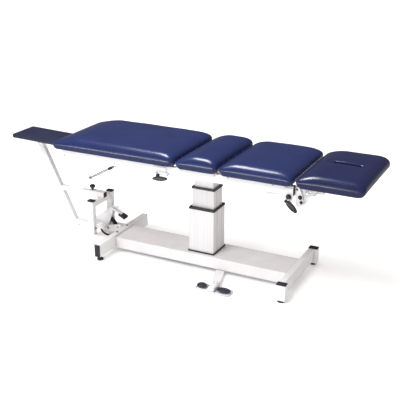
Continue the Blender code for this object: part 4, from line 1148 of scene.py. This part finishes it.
add_built("clamp_knob_cap", KNOB, "clamp_knob", "black_plastic", clamp_knob, sharp=45,
          replaces="stand_clamp_knob")

# ------------------------------------------------------------------ wheel
WHEEL = JOINTS["wheel_spin"]
RIM = 0.0572           # radius where hub and tyre meet
# one face of the hub from bore to rim: radius, height over the wheel's mid-plane
HUB_FACE = (
    (0.0045, 0.0168), (0.0120, 0.0168), (0.0140, 0.0150), (0.0140, 0.0080), (0.0170, 0.0058),
    (0.0440, 0.0050), (0.0490, 0.0075), (0.0515, 0.0125), (RIM, 0.0128),
)


def tyre(bm):
    """Tyre with four shallow grooves round the tread."""
    low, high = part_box("transport_wheel_tyre")
    r, half = (high.z - low.z) / 2, (high.y - low.y) / 2
    wall = [(RIM, 0.92), (0.0640, 1.0), (r - 0.0050, 0.96), (r - 0.0012, 0.78), (r, 0.55)]
    profile = [(radius, half * share) for radius, share in wall]
    for groove in (0.36, 0.12, -0.12, -0.36):
        profile += [(r, (groove + 0.05) * half), (r - 0.0016, (groove + 0.035) * half),
                    (r - 0.0016, (groove - 0.035) * half), (r, (groove - 0.05) * half)]
    profile += [(radius, -half * share) for radius, share in reversed(wall)]
    profile.append(profile[0])
    lathe(bm, profile, WHEEL, REAR, sides=64)


def spoke(bm, angle, side):
    """Low tapered rib on one face of the hub."""
    outward = Vector((cos(angle), 0, sin(angle)))
    across = Vector((-sin(angle), 0, cos(angle)))
    part = bmesh.new()
    corners = []
    for radius, height in ((0.0125, 0.0125), (0.0500, 0.0100)):
        for half in (-0.0016, 0.0016):
            for y in (side * 0.0030, side * height):
                corners.append(part.verts.new(WHEEL + outward * radius + across * half
                                              + Vector((0, y, 0))))
    for face in ((0, 1, 3, 2), (4, 6, 7, 5), (0, 4, 5, 1), (2, 3, 7, 6), (1, 5, 7, 3),
                 (0, 2, 6, 4)):
        part.faces.new([corners[i] for i in face])
    join(bm, part)


def hub(bm, spokes=8):
    profile = [*HUB_FACE, *((radius, -height) for radius, height in reversed(HUB_FACE)),
               HUB_FACE[0]]
    lathe(bm, profile, WHEEL, REAR, sides=56)
    for k in range(spokes):
        for side in (-1, 1):
            spoke(bm, 2 * pi * k / spokes, side)


def pedal_ribs(bm):
    """Ribs across the pedal pad of the wheel lever."""
    low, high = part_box("wheel_pedal_pad")
    turn = Matrix.Rotation(radians(26), 3, "Y")
    middle = (low + high) / 2
    for k in range(7):
        offset = turn @ Vector((-0.0225 + 0.0075 * k, 0, 0.0100))
        x, z = middle.x + offset.x, middle.z + offset.z
        tube(bm, [(x, low.y + 0.004, z), (x, high.y - 0.004, z)], 0.0016, sides=8)


add_built("wheel_tyre", TYRE, "wheel", "wheel_tyre", tyre, sharp=40,
          replaces="transport_wheel_tyre")
add_built("wheel_hub", HUB, "wheel", "hub_plastic", hub, sharp=40,
          replaces="transport_wheel_hub")
add_fasteners("wheel_axle", "wheel_lever", bolt,
              [((WHEEL.x, 0.0370, WHEEL.z), FRONT, 0.0068),
               ((WHEEL.x, 0.0820, WHEEL.z), REAR, 0.0068)])
add_built("wheel_pedal_ribs", PEDAL, "wheel_lever", "black_rubber", pedal_ribs, sharp=60)

# ------------------------------------------------------------------ foot switch
PEDAL_DEPTH = 0.0275   # half the pedal's size along y
PEDAL_BOTTOM = 0.0165


def add_pedal(node, centre_x, centre_y, half_x, top, side, steps=56):
    """Ribbed oval pedal; two rods on its +X or -X side reach the CAD pedal's end."""
    low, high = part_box(node)
    height = top - PEDAL_BOTTOM

    def build(bm):
        # share of the oval, height
        rows = [(1.0, PEDAL_BOTTOM), (1.0, PEDAL_BOTTOM + height * 0.30),
                (0.97, PEDAL_BOTTOM + height * 0.52), (0.90, PEDAL_BOTTOM + height * 0.70)]
        share = 0.84
        while share > 0.10:
            z = top - height * 0.26 * share ** 2
            rows += [(share, z), (share - 0.022, z - 0.0011), (share - 0.050, z - 0.0011),
                     (share - 0.072, z + 0.0002)]
            share -= 0.115
        rings = []
        for share, z in rows:
            rings.append([bm.verts.new(at(centre_x + half_x * share * cos(2 * pi * i / steps),
                                          centre_y + PEDAL_DEPTH * share
                                          * sin(2 * pi * i / steps), z))
                          for i in range(steps)])
        loft(bm, rings)
        start = centre_x + side * half_x * 0.86
        end = (high.x if side > 0 else low.x) - COLUMN_X
        for offset in (-0.0125, 0.0125):
            y = centre_y + offset
            tube(bm, [at(start, y, PEDAL_BOTTOM + 0.0040),
                      at((start + end) / 2, y, PEDAL_BOTTOM + 0.0046),
                      at(end, y, PEDAL_BOTTOM + 0.0030)], 0.0026, sides=10)

    add_built(f"{node}_pad", PEDAL, node, "black_plastic", build, sharp=50, replaces=node)


add_pedal("pedal_raise", 0.1380, -0.3520, half_x=0.0330, top=0.0290, side=1)
add_pedal("pedal_lower", 0.2910, -0.3560, half_x=0.0460, top=0.0265, side=-1)

# plan of the tray: x from the column, y
TRAY_OUTLINE = (
    (0.103, -0.330), (0.103, -0.378), (0.112, -0.388), (0.178, -0.391), (0.205, -0.396),
    (0.245, -0.400), (0.262, -0.405), (0.322, -0.405), (0.339, -0.396), (0.346, -0.380),
    (0.346, -0.335), (0.337, -0.320), (0.262, -0.316), (0.245, -0.314), (0.185, -0.314),
    (0.113, -0.317),
)
# section through the tray's rim: inset from the outline, z
TRAY_RIM = (
    (0.0010, 0.0012), (0.0, 0.0022), (0.0, 0.0108), (0.0006, 0.0116), (0.0020, 0.0116),
    (0.0026, 0.0108), (0.0026, 0.0052), (0.0036, 0.0042),
)
# section across the housing: x from the column, z
HOUSING_SECTION = (
    (0.1920, 0.0040), (0.1920, 0.0240), (0.1945, 0.0300), (0.2000, 0.0330), (0.2060, 0.0340),
    (0.2240, 0.0340), (0.2300, 0.0330), (0.2355, 0.0300), (0.2380, 0.0240), (0.2380, 0.0040),
)
HOUSING_X = 0.2150
# along the housing: y, share of the full section
HOUSING_STATIONS = (
    (-0.3930, 0.62), (-0.3905, 0.80), (-0.3850, 0.93), (-0.3760, 1.0), (-0.3100, 1.0),
    (-0.3040, 0.95), (-0.3010, 0.85),
)
# along the strap: y, lower x, upper x, underside z
STRAP_STATIONS = (
    (-0.0960, 0.1200, 0.1820, 0.0215), (-0.1500, 0.1350, 0.1960, 0.0215),
    (-0.2200, 0.1530, 0.2150, 0.0218), (-0.2700, 0.1670, 0.2300, 0.0235),
    (-0.2900, 0.1730, 0.2370, 0.0290), (-0.2980, 0.1760, 0.2380, 0.0345),
    (-0.3200, 0.1930, 0.2370, 0.0345),
)
STRAP_THICK = 0.0042
SWITCH_FEET = ((0.1150, -0.3300), (0.1150, -0.3760), (0.3300, -0.3320), (0.3300, -0.3900))


def tray(bm):
    count = len(TRAY_OUTLINE)
    rings = []
    for inset, z in TRAY_RIM:
        ring = []
        for i, (x, y) in enumerate(TRAY_OUTLINE):
            before_x, before_y = TRAY_OUTLINE[i - 1]
            after_x, after_y = TRAY_OUTLINE[(i + 1) % count]
            inward_x, inward_y = before_y - after_y, after_x - before_x
            length = (inward_x * inward_x + inward_y * inward_y) ** 0.5
            ring.append(bm.verts.new(at(x + inward_x / length * inset,
                                        y + inward_y / length * inset, z)))
        rings.append(ring)
    loft(bm, rings)


def housing(bm):
    """Saddle over the switch box: sloped ends, rounded top edges."""
    rings = []
    for y, share in HOUSING_STATIONS:
        rings.append([bm.verts.new(at(HOUSING_X + (x - HOUSING_X) * (0.93 + 0.07 * share), y,
                                      0.0042 + (z - 0.0040) * share))
                      for x, z in HOUSING_SECTION])
    loft(bm, rings, flip=True)


def strap(bm):
    """Flat bar from under the beam, stepped up onto the housing."""
    rings = []
    for y, x0, x1, z in STRAP_STATIONS:
        corners = ((x0, z), (x1, z), (x1, z + STRAP_THICK), (x0, z + STRAP_THICK))
        rings.append([bm.verts.new(at(x, y, height)) for x, height in corners])
    loft(bm, rings)


def switch_feet(bm):
    for x, y in SWITCH_FEET:
        lathe(bm, [(0, 0.0013), (0.0070, 0.0013), (0.0074, 0.0006), (0.0070, 0.0), (0, 0.0)],
              at(x, y, 0.0), UP, sides=20)


add_built("footswitch_tray", SWITCH, "base", "white_paint", tray, sharp=35,
          replaces="footswitch_base")
add_built("footswitch_housing", SWITCH, "base", "white_paint", housing, sharp=50)
add_built("footswitch_strap", SHADED_WHITE, "base", "white_paint", strap, bevel=0.0010, sharp=40,
          replaces="footswitch_arm")
add_fasteners("footswitch_bolts", "base", button,
              [(at(x, -0.3120, 0.0387), UP, 0.0042) for x in (0.2040, 0.2260)]
              + [(at(x, -0.1040, 0.0215), DOWN, 0.0050) for x in (0.1430, 0.1680)])
add_built("footswitch_pads", RUBBER, "base", "black_rubber", switch_feet, sharp=50)

# ------------------------------------------------------------------ head bracket
STAY_FACE_Y = -0.2480  # front face of the plate
STAY_BAR_Y = -0.2378
# outline of the plate: x from the column, z
STAY_OUTLINE = (
    (0.6895, 0.7360), (0.7110, 0.7360), (0.7220, 0.7160), (0.7350, 0.6840), (0.7400, 0.6560),
    (0.7405, 0.6260), (0.7330, 0.6110), (0.7150, 0.6070), (0.7000, 0.6180), (0.6930, 0.6400),
    (0.6895, 0.6800),
)
# two bent bars and the short one joining them: (x from the column, z) points, radii
BENT_BAR_RADII = (0.0026, 0.0034, 0.0034, 0.0034, 0.0030)
STAY_BARS = (
    (((0.7430, 0.6300), (0.7560, 0.6440), (0.8000, 0.6900), (0.8330, 0.7230),
      (0.8400, 0.7380)), BENT_BAR_RADII),
    (((0.7430, 0.6700), (0.7560, 0.6830), (0.7780, 0.7040), (0.7900, 0.7160),
      (0.7960, 0.7380)), BENT_BAR_RADII),
    (((0.7440, 0.6310), (0.7420, 0.6500), (0.7440, 0.6700)), (0.0030, 0.0034, 0.0030)),
)
STAY_ROD = ((0.7500, 0.7060), (0.7620, 0.7200), (0.7680, 0.7400))


def stay_knobs(bm):
    """Two fluted knobs and a plain stud on the front of the plate."""
    for x, z, r in ((0.7215, 0.6750, 0.0130), (0.7295, 0.6450, 0.0095)):
        lathe(bm, [(0, 0.0115), (r * 0.45, 0.0110), (r * 0.80, 0.0085), (r * 0.98, 0.0050),
                   (r, 0.0020), (r * 0.94, -0.0002), (0, -0.0002)],
              at(x, STAY_FACE_Y, z), FRONT, sides=36,
              wave=lambda angle, h: 1 + (0.035 * cos(10 * angle) if 0.001 < h < 0.007
                                         else 0.0))
    tube(bm, [at(0.7000, STAY_FACE_Y, 0.7220), at(0.7000, STAY_FACE_Y - 0.0040, 0.7220)],
         0.0060, sides=18)


def stay_bars(bm):
    for points, radii in STAY_BARS:
        tube(bm, [at(x, STAY_BAR_Y, z) for x, z in points], radii, sides=14)


def stay_rod(bm):
    tube(bm, [at(x, STAY_BAR_Y, z) for x, z in STAY_ROD], 0.0030, sides=12)


add_white_plate("head_stay_plate", "top_frame", from_column(STAY_OUTLINE), STAY_FACE_Y,
                -0.2440, bevel=0.0009)
add_built("head_stay_knobs", KNOB, "top_frame", "black_plastic", stay_knobs, sharp=50)
add_built("head_stay_bars", WHITE, "head_section", "white_paint", stay_bars, sharp=60)
add_built("head_stay_rod", SATIN, "head_section", "bright_steel", stay_rod, sharp=60)

# ------------------------------------------------------------------ wheel guard
GUARD_Y = 0.0250       # front face
# x from the column, z
GUARD_OUTLINE = (
    (-0.8120, 0.1120), (-0.8120, 0.0700), (-0.7900, 0.0630), (-0.7560, 0.0680),
    (-0.7220, 0.0820), (-0.6960, 0.1080), (-0.6960, 0.1340), (-0.7350, 0.1280),
    (-0.7710, 0.1190),
)
add_white_plate("wheel_guard", "wheel_lever", from_column(GUARD_OUTLINE), GUARD_Y, 0.0288,
                bevel=0.0009)
add_fasteners("wheel_guard_bolts", "wheel_lever", bolt,
              [(at(-0.8000, GUARD_Y, 0.0890), FRONT, 0.0048),
               (at(-0.7200, GUARD_Y, 0.1100), FRONT, 0.0042)])


# ------------------------------------------------------------------ stage, light, camera
def add_floor():
    bm = bmesh.new()
    bmesh.ops.create_grid(bm, x_segments=4, y_segments=4, size=40.0)
    mesh = bpy.data.meshes.new("studio_floor")
    bm.to_mesh(mesh)
    bm.free()
    floor = bpy.data.objects.new("studio_floor", mesh)
    SCENE.collection.objects.link(floor)
    mesh.materials.append(floor_white("floor_white"))
    floor.visible_glossy = False


def add_world():
    """White studio, brighter on the -X side; in reflections it is dark above the floor."""
    world = bpy.data.worlds.new("studio")
    SCENE.world = world
    world.use_nodes = True
    tree = Nodes(world.node_tree)
    background = world.node_tree.nodes["Background"]
    tree.put(background.inputs["Color"], (1.0, 0.995, 1.0))
    axes = tree.split(tree.node("ShaderNodeTexCoord").outputs["Generated"])
    diffuse = tree.span(axes["X"], low=0.88, high=0.56, from_low=-1.0)
    reflected = tree.span(axes["Z"], low=0.42, high=0.09, from_low=-0.25, from_high=0.0)
    ray = tree.node("ShaderNodeLightPath").outputs
    strength = tree.mix_float(ray["Is Glossy Ray"], diffuse, reflected)
    strength = tree.mix_float(ray["Is Camera Ray"], strength, 1.0)
    tree.put(background.inputs["Strength"], strength)


def add_light(name, kind, direction, energy):
    light = bpy.data.lights.new(name, kind)
    light.energy = energy
    lamp = bpy.data.objects.new(name, light)
    lamp.rotation_mode = "QUATERNION"
    lamp.rotation_quaternion = direction.to_track_quat("-Z", "Y")
    SCENE.collection.objects.link(lamp)
    return lamp


def add_area(name, place, target, size_x, size_y, energy):
    lamp = add_light(name, "AREA", target - place, energy)
    lamp.location = place
    lamp.data.shape = "RECTANGLE"
    lamp.data.size, lamp.data.size_y = size_x, size_y
    return lamp


def add_lights():
    add_area("overhead_softbox", place=at(-1.15, -0.45, 4.2), target=at(0, 0, 0.8),
             size_x=1.9, size_y=0.95, energy=128)
    strip = add_area("front_strip", place=at(-0.95, -2.45, 0.20), target=at(-0.35, -0.3, 0.80),
                     size_x=2.7, size_y=0.20, energy=34)
    strip.visible_diffuse = False
    strip.visible_camera = False
    sun = add_light("key_sun", "SUN", direction=Vector((0.30, 0.75, -0.95)), energy=1.60)
    sun.data.angle = radians(24)
    sun.visible_glossy = False


def add_camera(place, yaw, pitch, roll_angle):
    """Yaw turns the view from +Y towards -X; pitch looks down."""
    camera = bpy.data.objects.new("camera", bpy.data.cameras.new("camera"))
    SCENE.collection.objects.link(camera)
    look = Vector((-sin(yaw) * cos(pitch), cos(yaw) * cos(pitch), -sin(pitch)))
    right = Vector((cos(yaw), sin(yaw), 0))
    up = right.cross(look)
    rolled_right = right * cos(roll_angle) + up * sin(roll_angle)
    rolled_up = -right * sin(roll_angle) + up * cos(roll_angle)
    matrix = Matrix((rolled_right, rolled_up, -look)).transposed().to_4x4()
    matrix.translation = place
    camera.matrix_world = matrix
    camera.data.lens = 70.53
    camera.data.sensor_width = 36.0
    camera.data.clip_start, camera.data.clip_end = 0.05, 200.0
    SCENE.camera = camera


add_floor()
add_world()
add_lights()
add_camera(at(2.0881, -4.3561, 2.2866), yaw=radians(26.178), pitch=radians(20.809),
           roll_angle=radians(0.319))
SCENE.view_settings.view_transform = "Standard"
SCENE.view_settings.look = "None"
